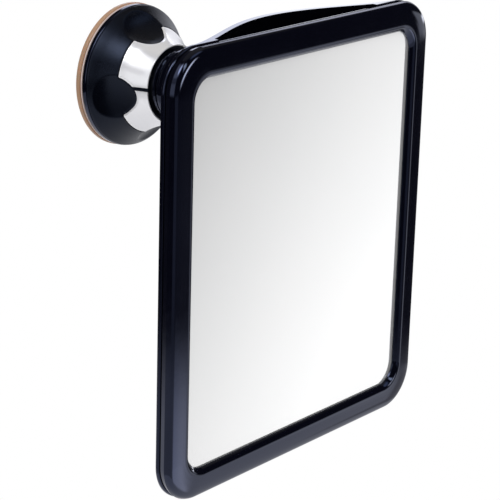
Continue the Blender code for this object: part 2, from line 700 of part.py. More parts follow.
def make_ball_seat(parent):
    """The cupped seat behind the ball; its origin is the ball's centre."""
    start = math.pi - SEAT_EDGE_ANGLE
    end = math.pi - SEAT_HOLE_ANGLE
    profile = arc(SEAT_OUTER, start, end, ARC_STEPS) + arc(SEAT_INNER, end, start, ARC_STEPS)
    turned("ball_seat", profile, parent, WHITE_ACETAL, steps=SMALL_STEPS)


def make_ball_stud(parent):
    """The ball, its stud and the flange that the mirror rolls on; the origin is the ball's centre."""
    ball = arc(BALL_RADIUS, STUD_ANGLE, math.pi, 2 * ARC_STEPS)
    profile = [
        (0, STUD_LENGTH), (STUD_FLANGE_RADIUS, STUD_LENGTH),
        (STUD_FLANGE_RADIUS, STUD_LENGTH - STUD_FLANGE_THICKNESS),
        (STUD_RADIUS, STUD_LENGTH - STUD_FLANGE_THICKNESS),
    ] + ball[:-1] + [(0, -BALL_RADIUS)]
    turned("ball_stud", profile, parent, GLOSS_BLACK, closed=False, steps=SMALL_STEPS)


def make_boss(parent):
    """The swivel boss and friction washer that trap the stud's flange against the rear shell."""
    bore = STUD_RADIUS + FIT_GAP
    pocket = STUD_FLANGE_RADIUS + FIT_GAP
    roof = STUD_TOP - STUD_FLANGE_THICKNESS - FIT_GAP
    flank = []
    for across, along in BOSS_FLANK_SHARES:
        radius = BOSS_NOSE_RADIUS + (BOSS_RADIUS - BOSS_NOSE_RADIUS) * across
        flank.append((radius, BOSS_BACK - BOSS_HEIGHT * along))
    outer = [(pocket, BOSS_BACK), (BOSS_RADIUS, BOSS_BACK)] + flank[::-1]
    inner = [(bore, BOSS_BACK - BOSS_HEIGHT), (bore, roof), (pocket, roof)]
    boss = turned("swivel_boss", outer + inner, parent, GLOSS_BLACK)
    boss.location = (0, AXIS_ABOVE_MIRROR_CENTRE, 0)
    washer = turned("friction_washer", [
        (STUD_FLANGE_RADIUS, BOSS_BACK), (STUD_FLANGE_RADIUS, WASHER_BOTTOM),
        (STUD_RADIUS, WASHER_BOTTOM), (STUD_RADIUS, BOSS_BACK)], parent, STEEL, steps=SMALL_STEPS)
    washer.location = boss.location
    return boss


def screw_boss(boss, parent):
    """The boss's four screws and their holes; the cutter for the rear shell's holes is returned."""
    circle = circle_places(BOSS_SCREW_COUNT, BOSS_SCREW_CIRCLE, math.pi / 4)
    places = [(x, y + AXIS_ABOVE_MIRROR_CENTRE) for x, y in circle]
    seat = BOSS_BACK - BOSS_FLANGE
    boolean(boss, drills("boss_screw_bores", places, BOSS_SCREW_RADIUS + FIT_GAP, seat - OVERRUN,
                         BOSS_BACK + OVERRUN, parent))
    boolean(boss, drills("boss_screw_heads", places, BOSS_SCREW_HEAD_RADIUS + FIT_GAP,
                         BOSS_BACK - BOSS_HEIGHT, seat + FIT_GAP, parent))
    profile = screw_outline(BOSS_SCREW_RADIUS, BOSS_SCREW_HEAD_RADIUS, BOSS_SCREW_HEAD_HEIGHT,
                            BOSS_SCREW_LENGTH)
    screws("boss_screw", profile, places, seat, True, parent)
    return drills("boss_screw_holes", places, BOSS_SCREW_RADIUS + FIT_GAP, PAD_FACE - OVERRUN,
                  seat + BOSS_SCREW_LENGTH + FIT_GAP, parent)


def bezel_profile():
    """Section of the bezel: lip, arched front, rear face and the pocket that takes the mirror."""
    arch = [(BEZEL_WIDTH * across, CREST_HEIGHT * up) for across, up in ARCH_SHARES]
    return [(0, FIT_GAP)] + arch + [
        (BEZEL_WIDTH, -BEZEL_SIDE_DEPTH), (POCKET_EDGE, -BEZEL_SIDE_DEPTH), (POCKET_EDGE, FIT_GAP),
    ]


def shell_screw_places():
    """Where the shell's screws stand: down both sides and along the bottom."""
    side_x = FRAME_WIDTH / 2 - SHELL_SCREW_INSET
    low_y = FRAME_HEIGHT / 2 - SHELL_SCREW_INSET
    places = []
    for share in SHELL_SIDE_SCREW_SHARES:
        places += [(-side_x, share * FRAME_HEIGHT / 2), (side_x, share * FRAME_HEIGHT / 2)]
    places += [(share * FRAME_WIDTH / 2, -low_y) for share in SHELL_BOTTOM_SCREW_SHARES]
    return places


def make_front(parent):
    """The bezel, the mirror behind its lip and the gasket that seals the reservoir to the mirror."""
    bezel = place("front_bezel", ring_mesh("front_bezel", bezel_profile()), parent, GLOSS_BLACK)
    holes = drills("bezel_screw_holes", shell_screw_places(), SHELL_SCREW_RADIUS + FIT_GAP,
                   -BEZEL_SIDE_DEPTH - OVERRUN, SHELL_SCREW_SEAT + SHELL_SCREW_LENGTH + FIT_GAP, parent)
    boolean(bezel, holes)
    sheet = plate_mesh("mirror_sheet", outline(MIRROR_OVERLAP), -MIRROR_THICKNESS, 0)
    place("mirror_sheet", sheet, parent, MIRROR)
    inner = MIRROR_OVERLAP - GASKET_WIDTH
    back = GASKET_FRONT - GASKET_THICKNESS
    profile = [(inner, GASKET_FRONT), (MIRROR_OVERLAP, GASKET_FRONT), (MIRROR_OVERLAP, back), (inner, back)]
    place("reservoir_gasket", ring_mesh("reservoir_gasket", profile), parent, BLACK_RUBBER)


def bulge_height(x, y):
    """How far the bulge stands, from 0 at its edges to 1 along its deepest line."""
    if abs(x) >= BULGE_HALF_WIDTH:
        return 0.0
    across = math.cos(math.pi / 2 * x / BULGE_HALF_WIDTH) ** BULGE_POWER
    shoulder = BULGE_SHOULDER_SHARE * FRAME_HEIGHT / 2
    foot = BULGE_FOOT_SHARE * FRAME_HEIGHT / 2
    fall = min(1.0, max(0.0, (y - foot) / (shoulder - foot)))
    return across * fall * fall * (3 - 2 * fall)


def bulge_mesh(name, wall, half_width, bottom, top, front):
    """A block whose back follows the bulge, sunk by the wall's thickness; its front is flat."""
    form = bmesh.new()
    bmesh.ops.create_grid(form, x_segments=BULGE_ACROSS, y_segments=BULGE_ALONG, size=0.5)
    for vertex in form.verts:
        vertex.co.x *= 2 * half_width
        vertex.co.y = (top + bottom) / 2 + vertex.co.y * (top - bottom)
        vertex.co.z = front
    made = bmesh.ops.extrude_face_region(form, geom=form.faces[:])
    for vertex in made["geom"]:
        if isinstance(vertex, bmesh.types.BMVert):
            rise = (BULGE_DEPTH + BULGE_SINK) * bulge_height(vertex.co.x, vertex.co.y)
            vertex.co.z = SHELL_BACK + BULGE_SINK - rise + wall
    bmesh.ops.recalc_face_normals(form, faces=form.faces)
    return finished_mesh(name, form)


def shell_bulge(parent):
    """The outside of the reservoir, from the bottom of the bulge to the shell's top face."""
    foot = BULGE_FOOT_SHARE * FRAME_HEIGHT / 2
    mesh = bulge_mesh("bulge", 0, BULGE_HALF_WIDTH, foot, FRAME_HEIGHT / 2, SHELL_FRONT - MOUTH_WALL / 2)
    return place_cutter("bulge", mesh, parent)


def shell_hollow(parent):
    """The water space, which runs past the top to open the fill mouth behind a thin front strip."""
    foot = BULGE_FOOT_SHARE * FRAME_HEIGHT / 2
    top = FRAME_HEIGHT / 2 + OVERRUN
    mesh = bulge_mesh("water_space", BULGE_WALL, WATER_HALF_WIDTH, foot, top, OVERRUN)
    hollow = place_cutter("water_space", mesh, parent)
    strip = box_cutter(
        "mouth_strip", (-FRAME_WIDTH / 2, FRAME_HEIGHT / 2 - MOUTH_STRIP, SHELL_FRONT - MOUTH_WALL),
        (FRAME_WIDTH / 2, top + OVERRUN, 2 * OVERRUN), parent)
    boolean(hollow, strip)
    return hollow


def make_shell(parent, boss_holes):
    """The rear shell: flange, reservoir bulge with its open fill mouth, and the boss pad."""
    plate = plate_mesh("rear_shell", outline(BEZEL_WIDTH), SHELL_BACK, SHELL_FRONT, SHELL_EDGE_ROUND)
    shell = place("rear_shell", plate, parent, SATIN_BLACK)
    boolean(shell, shell_bulge(parent), "UNION")
    pad = drills("boss_pad_face", [(0, AXIS_ABOVE_MIRROR_CENTRE)], SHELL_PAD_RADIUS, PAD_FACE,
                 PAD_FACE + SHELL_PAD_THICKNESS / 2, parent, ROUND_STEPS)
    boolean(shell, pad, "UNION")
    boolean(shell, shell_hollow(parent))
    boss = drills("boss_pad_inside", [(0, AXIS_ABOVE_MIRROR_CENTRE)], SHELL_PAD_RADIUS - BULGE_WALL,
                  PAD_FACE + BULGE_WALL / 2, PAD_FACE + SHELL_PAD_THICKNESS, parent, ROUND_STEPS)
    boolean(shell, boss, "UNION")
    boolean(shell, boss_holes)
    places = shell_screw_places()
    boolean(shell, drills("shell_screw_bores", places, SHELL_SCREW_RADIUS + FIT_GAP,
                          SHELL_BACK - OVERRUN, SHELL_FRONT + OVERRUN, parent))
    boolean(shell, drills("shell_screw_heads", places, SHELL_SCREW_HEAD_RADIUS + FIT_GAP,
                          SHELL_BACK - OVERRUN, SHELL_SCREW_SEAT + FIT_GAP, parent))
    profile = screw_outline(SHELL_SCREW_RADIUS, SHELL_SCREW_HEAD_RADIUS, SHELL_SCREW_HEAD_HEIGHT,
                            SHELL_SCREW_LENGTH)
    screws("shell_screw", profile, places, SHELL_SCREW_SEAT, True, parent)


def frame_empty(name, parent=None, location=(0, 0, 0)):
    """An empty that carries pieces: a joint's place, or the wall frame itself."""
    return place(name, None, parent, None, location)


for existing in list(bpy.data.objects):
    bpy.data.objects.remove(existing)

PARTS = new_collection("fogless_shower_mirror")
CUTTERS = new_collection("cutters")

GLOSS_BLACK = material("gloss_black_plastic", (0.004, 0.004, 0.007), 0.12)
SATIN_BLACK = material("satin_black_plastic", (0.012, 0.012, 0.016), 0.32)
CHROME = material("chrome_plate", (0.86, 0.86, 0.88), 0.06, 1.0)
MIRROR = material("mirrored_acrylic", (0.90, 0.91, 0.91), 0.02, 1.0)
TAN_GEL = material("tan_gel", (0.42, 0.25, 0.15), 0.35)
PALE_RUBBER = material("pale_rubber", (0.80, 0.72, 0.70), 0.45)
BLACK_RUBBER = material("black_rubber", (0.02, 0.02, 0.02), 0.7)
WHITE_ACETAL = material("white_acetal", (0.75, 0.75, 0.72), 0.4)
STEEL = material("stainless_steel", (0.62, 0.62, 0.60), 0.25, 1.0)

wall_frame = frame_empty("wall_frame")
wall_frame.rotation_euler = (math.pi / 2, 0, 0)
knob_axis = frame_empty("knob_axis", wall_frame)
stem_axis = frame_empty("stem_axis", wall_frame)
nut_axis = frame_empty("nut_axis", wall_frame)
pan_axis = frame_empty("pan_axis", wall_frame, (0, 0, BALL_OUT))
tilt_axis = frame_empty("tilt_axis", pan_axis)
roll_axis = frame_empty("roll_axis", tilt_axis)
mirror_centre = frame_empty("mirror_centre", roll_axis,
                            (0, -AXIS_ABOVE_MIRROR_CENTRE, MIRROR_OUT - BALL_OUT))

make_pad(wall_frame)
make_stem(stem_axis)
make_base(wall_frame)
make_cam(knob_axis)
make_knob(knob_axis)
make_neck(wall_frame)
make_nut(wall_frame, nut_axis)
make_ball_seat(pan_axis)
make_ball_stud(tilt_axis)
make_front(mirror_centre)
make_shell(mirror_centre, screw_boss(make_boss(mirror_centre), mirror_centre))
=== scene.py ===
"""The fogless shower mirror with fine surfaces, materials, soft studio light and its camera.

Pieces are drawn in the wall frame: x to the right, y up and z out of the wall, in metres.
"""

import json
import math

import bmesh
import bpy
from mathutils import Matrix, Vector


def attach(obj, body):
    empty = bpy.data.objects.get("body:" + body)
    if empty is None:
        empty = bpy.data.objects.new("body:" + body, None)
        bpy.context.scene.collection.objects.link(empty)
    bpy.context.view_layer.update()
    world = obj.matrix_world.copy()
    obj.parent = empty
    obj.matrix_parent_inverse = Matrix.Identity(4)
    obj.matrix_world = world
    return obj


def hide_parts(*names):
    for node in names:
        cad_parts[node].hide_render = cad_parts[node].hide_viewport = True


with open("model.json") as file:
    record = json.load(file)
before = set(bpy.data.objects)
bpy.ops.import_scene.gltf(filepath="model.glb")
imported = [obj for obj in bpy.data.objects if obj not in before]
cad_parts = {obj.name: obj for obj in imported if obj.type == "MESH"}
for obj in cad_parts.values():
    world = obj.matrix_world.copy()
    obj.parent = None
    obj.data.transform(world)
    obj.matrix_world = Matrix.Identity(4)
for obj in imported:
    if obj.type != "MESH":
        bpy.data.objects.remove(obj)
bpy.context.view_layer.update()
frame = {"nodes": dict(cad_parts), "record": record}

# Clearances and cutters
FIT_GAP = 0.0003
OVERRUN = 0.0030

# Mirror head
FRAME_WIDTH = 0.1804
FRAME_HEIGHT = 0.2038
BEZEL_WIDTH = 0.0135
OPENING_CORNER_RADIUS = 0.0100
OUTER_CORNER_RADIUS = 0.0190
CREST_HEIGHT = 0.0030
BEZEL_TAPER = 0.0006
MIRROR_THICKNESS = 0.0020
MIRROR_OVERLAP = 0.0040
GASKET_THICKNESS = 0.0008
SHELL_FLANGE = 0.0022
SHELL_EDGE_ROUND = 0.0008
BULGE_DEPTH = 0.0188
BULGE_SINK = 0.0008
BULGE_WALL = 0.0028
BULGE_POWER = 1.4
WATER_HALF_WIDTH = 0.0560
MOUTH_WALL = 0.0012
MOUTH_STRIP = 0.0100
MOUTH_WALL_DROP = 0.0010
MOULDING_EDGE_ROUND = 0.0003
MIRROR_EDGE_ROUND = 0.0002

# Suction mount
BASE_RADIUS = 0.0339
PAD_RADIUS = 0.0342
PAD_THICKNESS = 0.0025
DIAPHRAGM_RADIUS = 0.0338
DIAPHRAGM_THICKNESS = 0.0007
BASE_RIM_HEIGHT = 0.0025
BASE_WEB_RISE = 0.0019
BASE_WEB_THICKNESS = 0.0020
BASE_WEB_RADIUS = 0.0244
BASE_WALL = 0.0018
STEM_TRAVEL = 0.0025
PIN_RADIUS = 0.00125
PIN_OUT = 0.0180
GUIDE_RADIUS = 0.0110
GUIDE_BORE = 0.0049
CAM_OUT = 0.0105
HUB_BORE = 0.0143
HUB_RADIUS = 0.0163
HUB_ROOF = 0.02235
KNOB_RIM_RADIUS = 0.0337
KNOB_NECK_RADIUS = 0.0187
KNOB_HEIGHT = 0.0244
KNOB_RIM_WALL = 0.0021
WASHER_THICKNESS = 0.0006
COLLAR_WALL = 0.0006
COLLAR_GAP = 0.0004
COLLAR_SEAM_WIDTH = 0.0018
COLLAR_SEAM_ANGLE = math.radians(180)
SCALLOP_COUNT = 4
SCALLOP_FIRST_ANGLE = math.radians(101)
SCALLOP_DEPTH = 0.0035
SCALLOP_ACROSS = 0.0225
SCALLOP_ALONG = 0.0140
SCALLOP_THROUGH = 0.0100
SCALLOP_SOFTNESS = 0.00009
KNOB_STEP_ROOM = 0.0001
KNOB_LONGEST_FACE = 0.0005
PAD_EDGE_ROUND = 0.0007
DIAPHRAGM_EDGE_ROUND = 0.0003
HOUSING_EDGE_ROUND = 0.0006
COLLAR_EDGE_ROUND = 0.0003

# Ball joint and boss
BALL_RADIUS = 0.0100
BALL_OUT = 0.0483
NUT_OUT = 0.0348
NUT_BORE = 0.0145
NUT_RADIUS = 0.0177
NUT_EDGE = 0.0016
NUT_LIP = 0.0015
NUT_RING_DEPTH = 0.0008
NUT_RING_COUNT = 4
LINER_TOP = 0.0057
PAN_LIMIT = math.radians(25)
TILT_LIMIT = math.radians(20)
MOUTH_SPARE_ANGLE = math.radians(3)
STUD_RADIUS = 0.0040
STUD_LENGTH = 0.0348
STUD_FLANGE_RADIUS = 0.0070
STUD_FLANGE_THICKNESS = 0.0020
FRICTION_WASHER_THICKNESS = 0.0010
BOSS_RADIUS = 0.0205
BOSS_NOSE_RADIUS = 0.0075
BOSS_HEIGHT = 0.0178
BOSS_FLANGE = 0.0030
SHELL_PAD_RADIUS = 0.0220
SHELL_PAD_THICKNESS = 0.0075
AXIS_ABOVE_MIRROR_CENTRE = 0.0608
NUT_EDGE_ROUND = 0.0005
STUD_EDGE_ROUND = 0.0004
BOSS_EDGE_ROUND = 0.0007

# Screws
BOSS_SCREW_RADIUS = 0.00125
BOSS_SCREW_HEAD_RADIUS = 0.0024
BOSS_SCREW_HEAD_HEIGHT = 0.0014
BOSS_SCREW_LENGTH = 0.0080
BOSS_SCREW_CIRCLE = 0.0158
BOSS_SCREW_DEGREES = (45, 135, 225, 315)
SHELL_SCREW_RADIUS = 0.0011
SHELL_SCREW_HEAD_RADIUS = 0.0023
SHELL_SCREW_HEAD_HEIGHT = 0.0012
SHELL_SCREW_LENGTH = 0.0046
SHELL_SCREW_INSET = 0.0036
SHELL_SCREW_SIDE_SHARES = (-0.74, 0.0, 0.74)
SHELL_SCREW_BOTTOM_SHARES = (-0.5, 0.5)
SCREW_TIP_SHARE = 0.5
SCREW_HEAD_WALL_SHARE = 0.5
SCREW_HEAD_CROWN_SHARE = 0.75
SCREW_EDGE_ROUND = 0.00025
RECESS_ARM_SHARE = 0.62
RECESS_HALF_WIDTH_SHARE = 0.13
RECESS_FLOOR_SHARE = 0.45
SCREW_TURN_STEP = 0.9

# Shares of the sizes that they follow
ARCH_SHARES = (
    (0.0, 0.30), (0.05, 0.60), (0.11, 0.86), (0.16, 0.97), (0.21, 1.0), (0.33, 0.985),
    (0.48, 0.95), (0.65, 0.88), (0.80, 0.74), (0.90, 0.54), (0.96, 0.25), (1.0, -0.20),
)
KNOB_FLANK_SHARES = (
    (1.0, 0.0), (0.985, 0.028), (0.915, 0.08), (0.765, 0.19), (0.595, 0.328),
    (0.433, 0.475), (0.258, 0.62), (0.125, 0.775), (0.042, 0.905), (0.0, 1.0),
)
KNOB_CAVITY_SHARES = ((1.0, 0.05), (0.60, 0.17), (0.20, 0.33))
SCALLOP_PLACE_SHARES = (0.53, 0.53)
BOSS_FLANK_SHARES = ((0.0, 1.0), (0.12, 0.78), (0.42, 0.38), (1.0, 0.19))
NUT_RING_SHARES = (0.6, 0.7, 0.9)
BULGE_SHOULDER_SHARE = 0.40
BULGE_FOOT_SHARE = -0.90

# Points of the knob's flank, by their place in its list
SCALLOP_LOW_POINT = 2
COLLAR_START = 5
SCALLOP_HIGH_POINT = 7

# Places worked out from the sizes
BASE_OUT = PAD_THICKNESS + DIAPHRAGM_THICKNESS + 2 * FIT_GAP
BASE_RIM_OUT = BASE_OUT + BASE_RIM_HEIGHT
WEB_BOTTOM = BASE_RIM_OUT + BASE_WEB_RISE
WEB_TOP = WEB_BOTTOM + BASE_WEB_THICKNESS
KNOB_OUT = BASE_RIM_OUT + FIT_GAP
KNOB_TOP = KNOB_OUT + KNOB_HEIGHT
KNOB_SEAT = KNOB_TOP - FIT_GAP
GUIDE_TOP = KNOB_TOP + WASHER_THICKNESS
BEZEL_SIDE_DEPTH = MIRROR_THICKNESS + GASKET_THICKNESS + 2 * FIT_GAP
SHELL_FRONT = -(BEZEL_SIDE_DEPTH + FIT_GAP)
SHELL_BACK = SHELL_FRONT - SHELL_FLANGE
SHELL_SCREW_SEAT = SHELL_BACK + SHELL_SCREW_HEAD_HEIGHT
PAD_FACE = SHELL_BACK - BULGE_DEPTH
BOSS_BACK = PAD_FACE - FIT_GAP
STUD_TOP = BOSS_BACK - FRICTION_WASHER_THICKNESS - FIT_GAP
MIRROR_OUT = BALL_OUT + STUD_LENGTH - STUD_TOP
OPENING_WIDTH = FRAME_WIDTH - 2 * BEZEL_WIDTH
OPENING_HEIGHT = FRAME_HEIGHT - 2 * BEZEL_WIDTH
BULGE_HALF_WIDTH = FRAME_WIDTH / 2 - OUTER_CORNER_RADIUS
HEAD_TOP = FRAME_HEIGHT / 2
BULGE_SHOULDER = BULGE_SHOULDER_SHARE * FRAME_HEIGHT / 2
BULGE_FOOT = BULGE_FOOT_SHARE * FRAME_HEIGHT / 2
POCKET_EDGE = MIRROR_OVERLAP + 4 * FIT_GAP
MOUTH_ANGLE = math.acos(math.cos(PAN_LIMIT) * math.cos(TILT_LIMIT)) \
    + math.asin(STUD_RADIUS / BALL_RADIUS) + MOUTH_SPARE_ANGLE

WALL = Matrix(((1, 0, 0, 0), (0, 0, -1, 0), (0, 1, 0, 0), (0, 0, 0, 1)))
HEAD = WALL @ Matrix.Translation((0, -AXIS_ABOVE_MIRROR_CENTRE, MIRROR_OUT))
STUD_AXIS = WALL @ Matrix.Translation((0, 0, MIRROR_OUT))
BALL = WALL @ Matrix.Translation((0, 0, BALL_OUT))

# Fineness of the meshes
ROUND_STEPS = 176
KNOB_STEPS = 360
COLLAR_STEPS = 240
STUD_STEPS = 96
BALL_ARC_STEPS = 40
SCREW_STEPS = 48
BAR_STEPS = 64
HUB_STEPS = 160
SOFT_STEPS = 4
DISC_SOFT_STEPS = 6
CORNER_STEPS = 24
PLATE_EDGE_STEPS = 4
ARCH_STEPS = 6
FLANK_STEPS = 8
SCALLOP_SEGMENTS = 96
SCALLOP_RINGS = 64
BULGE_CELLS_ACROSS = 120
BULGE_CELLS_ALONG = 100
FLOOR_STEPS = 96

# Edges that turn by more than so many degrees are drawn sharp
SHARP_TURN = 38
KNOB_SHARP_TURN = 50
NUT_SHARP_TURN = 55
BEZEL_SHARP_TURN = 50
SHELL_SHARP_TURN = 34

# Shorter lengths count as none
TINY = 1e-7

# Corners that turn less stay as they are; a rounding takes no more than this share of each side
BLUNT_TURN = math.radians(22)
LONGEST_REACH_SHARE = 0.45

# A grip leaves the points above it alone and sinks the deep ones fully, in units of its softness
SCALLOP_SOFT_START = -6
SCALLOP_SOFT_END = 30


# Shapes
def softened(profile, radius, closed=True, steps=SOFT_STEPS):
    """The profile with each sharp corner turned into an arc; points on the axis stay."""
    result = []
    count = len(profile)
    for index, point in enumerate(profile):
        end = not closed and index in (0, count - 1)
        here = Vector(point)
        before = Vector(profile[index - 1]) - here
        after = Vector(profile[(index + 1) % count]) - here
        if end or here.x < TINY or before.length < TINY or after.length < TINY:
            result.append(tuple(here))
            continue
        turn = math.pi - before.angle(after)
        if turn < BLUNT_TURN:
            result.append(tuple(here))
            continue
        reach = min(radius * math.tan(turn / 2),
                    LONGEST_REACH_SHARE * min(before.length, after.length))
        start = here + before.normalized() * reach
        stop = here + after.normalized() * reach
        middle = here + (before.normalized() + after.normalized()).normalized() \
            * (reach / math.tan(turn / 2)) / math.cos(turn / 2)
        first, last = start - middle, stop - middle
        sweep = first.angle_signed(last)
        for step in range(steps + 1):
            angle = -sweep * step / steps
            spin = Matrix.Rotation(angle, 2)
            result.append(tuple(middle + spin @ first))
    return result


def smooth_path(points, steps):
    """A smooth curve through points, by chord length."""
    spots = [Vector(point) for point in points]
    knots = [0.0]
    for before, after in zip(spots, spots[1:]):
        knots.append(knots[-1] + (after - before).length)
    slopes = []
    for index in range(len(spots)):
        low, high = max(index - 1, 0), min(index + 1, len(spots) - 1)
        slopes.append((spots[high] - spots[low]) / (knots[high] - knots[low]))
    result = []
    for index in range(len(spots) - 1):
        span = knots[index + 1] - knots[index]
        for step in range(steps):
            t = step / steps
            result.append(tuple(
                spots[index] * (2 * t ** 3 - 3 * t ** 2 + 1)
                + slopes[index] * span * (t ** 3 - 2 * t ** 2 + t)
                + spots[index + 1] * (3 * t ** 2 - 2 * t ** 3)
                + slopes[index + 1] * span * (t ** 3 - t ** 2)))
    return result + [tuple(spots[-1])]


def subdivided(points, longest):
    """The points with more between them, so that no stretch is longer than asked."""
    result = []
    for (x1, y1), (x2, y2) in zip(points, points[1:]):
        count = max(1, math.ceil(math.hypot(x2 - x1, y2 - y1) / longest))
        result += [(x1 + (x2 - x1) * n / count, y1 + (y2 - y1) * n / count) for n in range(count)]
    return result + [points[-1]]


def arc(radius, start, end, steps):
    """Points (radius, height) of a circle round the origin, by angle from the +z axis."""
    points = []
    for step in range(steps + 1):
        angle = start + (end - start) * step / steps
        points.append((radius * math.sin(angle), radius * math.cos(angle)))
    return points


def lathe(profile, closed=True, steps=ROUND_STEPS):
    """An edit form turned round z from (radius, height) points."""
    form = bmesh.new()
    rings = []
    for radius, height in profile:
        if radius < TINY:
            rings.append([form.verts.new((0, 0, height))])
            continue
        rings.append([form.verts.new((radius * math.cos(2 * math.pi * step / steps),
                                      radius * math.sin(2 * math.pi * step / steps), height))
                      for step in range(steps)])
    pairs = list(zip(rings, rings[1:]))
    if closed:
        pairs.append((rings[-1], rings[0]))
    for one, two in pairs:
        for step in range(steps):
            after = (step + 1) % steps
            if len(one) == 1 and len(two) == 1:
                break
            if len(one) == 1:
                form.faces.new((one[0], two[after], two[step]))
            elif len(two) == 1:
                form.faces.new((one[step], one[after], two[0]))
            else:
                form.faces.new((one[step], one[after], two[after], two[step]))
    bmesh.ops.recalc_face_normals(form, faces=form.faces)
    return form


def rounded_rectangle(width, height, radius):
    """Points of a rectangle with round corners, anticlockwise from the right side."""
    points = []
    for quarter in range(4):
        side_x = 1 if quarter in (0, 3) else -1
        side_y = 1 if quarter in (0, 1) else -1
        for step in range(CORNER_STEPS + 1):
            angle = math.pi / 2 * (quarter + step / CORNER_STEPS)
            points.append((side_x * (width / 2 - radius) + radius * math.cos(angle),
                           side_y * (height / 2 - radius) + radius * math.sin(angle)))
    return points


def outline(outward):
    """The opening's outline moved outward; its corners grow towards the frame's outer corners."""
    growth = (OUTER_CORNER_RADIUS - OPENING_CORNER_RADIUS) * outward / BEZEL_WIDTH
    return rounded_rectangle(OPENING_WIDTH + 2 * outward, OPENING_HEIGHT + 2 * outward,
                             OPENING_CORNER_RADIUS + growth)


def bridge(form, one, two):
    """Make the faces between two closed loops with as many points."""
    for corner in range(len(one)):
        after = (corner + 1) % len(one)
        form.faces.new((one[corner], one[after], two[after], two[corner]))


def ring_form(profile):
    """A frame round the opening; its profile points are (outward from the opening, height)."""
    form = bmesh.new()
    loops = [[form.verts.new((x, y, height)) for x, y in outline(outward)]
             for outward, height in profile]
    for index, loop in enumerate(loops):
        bridge(form, loop, loops[(index + 1) % len(loops)])
    bmesh.ops.recalc_face_normals(form, faces=form.faces)
    return form


def plate_form(outward, back, front, edge_round):
    """A plate of the outline with rounded edges, closed by a face at its back and its front."""
    levels = []
    for step in range(PLATE_EDGE_STEPS + 1):
        angle = math.pi / 2 * step / PLATE_EDGE_STEPS
        levels.append((-edge_round * (1 - math.sin(angle)),
                       back + edge_round * (1 - math.cos(angle))))
    for step in range(PLATE_EDGE_STEPS + 1):
        angle = math.pi / 2 * (1 - step / PLATE_EDGE_STEPS)
        levels.append((-edge_round * (1 - math.sin(angle)),
                       front - edge_round * (1 - math.cos(angle))))
    form = bmesh.new()
    loops = [[form.verts.new((x, y, height)) for x, y in outline(outward + inset)]
             for inset, height in levels]
    for one, two in zip(loops, loops[1:]):
        bridge(form, one, two)
    form.faces.new(loops[0][::-1])
    form.faces.new(loops[-1])
    bmesh.ops.recalc_face_normals(form, faces=form.faces)
    return form


def cylinder_form(places, radius, start, end, steps=BAR_STEPS):
    """Parallel round bars along z."""
    form = bmesh.new()
    for x, y in places:
        made = bmesh.ops.create_cone(form, cap_ends=True, segments=steps, radius1=radius,
                                     radius2=radius, depth=end - start)
        bmesh.ops.translate(form, verts=made["verts"], vec=(x, y, (start + end) / 2))
    return form


def box_form(low, high):
    """A box between two corners."""
    form = bmesh.new()
    bmesh.ops.create_cube(form, size=1.0)
    bmesh.ops.scale(form, vec=[top - bottom for bottom, top in zip(low, high)], verts=form.verts)
    bmesh.ops.translate(form, vec=[(top + bottom) / 2 for bottom, top in zip(low, high)],
                        verts=form.verts)
    return form


def scratch(name, form):
    """A plain object from an edit form, which is freed."""
    mesh = bpy.data.meshes.new(name)
    form.to_mesh(mesh)
    form.free()
    obj = bpy.data.objects.new(name, mesh)
    bpy.context.scene.collection.objects.link(obj)
    return obj


def carve(obj, steps):
    """Cut or join other forms; steps are (form, operation), and the result replaces the mesh."""
    tools = []
    for index, (form, operation) in enumerate(steps):
        tool = scratch(f"tool_{index}", form)
        modifier = obj.modifiers.new(tool.name, "BOOLEAN")
        modifier.operation = operation
        modifier.solver = "EXACT"
        modifier.object = tool
        tools.append(tool)
    graph = bpy.context.evaluated_depsgraph_get()
    mesh = bpy.data.meshes.new_from_object(obj.evaluated_get(graph))
    obj.modifiers.clear()
    old = obj.data
    obj.data = mesh
    bpy.data.meshes.remove(old)
    for tool in tools:
        data = tool.data
        bpy.data.objects.remove(tool)
        bpy.data.meshes.remove(data)


def dress(obj, body, finish, slot, *nodes, matrix=WALL, sharp=SHARP_TURN):
    """Put a drawn piece in its place on a body, for the solids that it stands for."""
    obj.data.transform(matrix)
    obj.data.shade_smooth()
    obj.data.set_sharp_from_angle(angle=math.radians(sharp))
    obj.modifiers.new("flat_faces", "WEIGHTED_NORMAL").keep_sharp = True
    obj.data.materials.clear()
    obj.data.materials.append(finish)
    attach(obj, body)
    if nodes:
        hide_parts(*nodes)


# Materials
NOISE_RANGE = (0.3, 0.7)
BROAD_NOISE_SCALE = 45.0
MIRROR_NOISE_SCALE = 12.0
BROAD_NOISE = (4.0, 0.55)
FINE_NOISE = (2.0, 0.6)
BLACK_SHEEN = (0.53, 0.62, 1.0, 1.0)
SATIN_SHEEN = (0.56, 0.68, 1.0, 1.0)


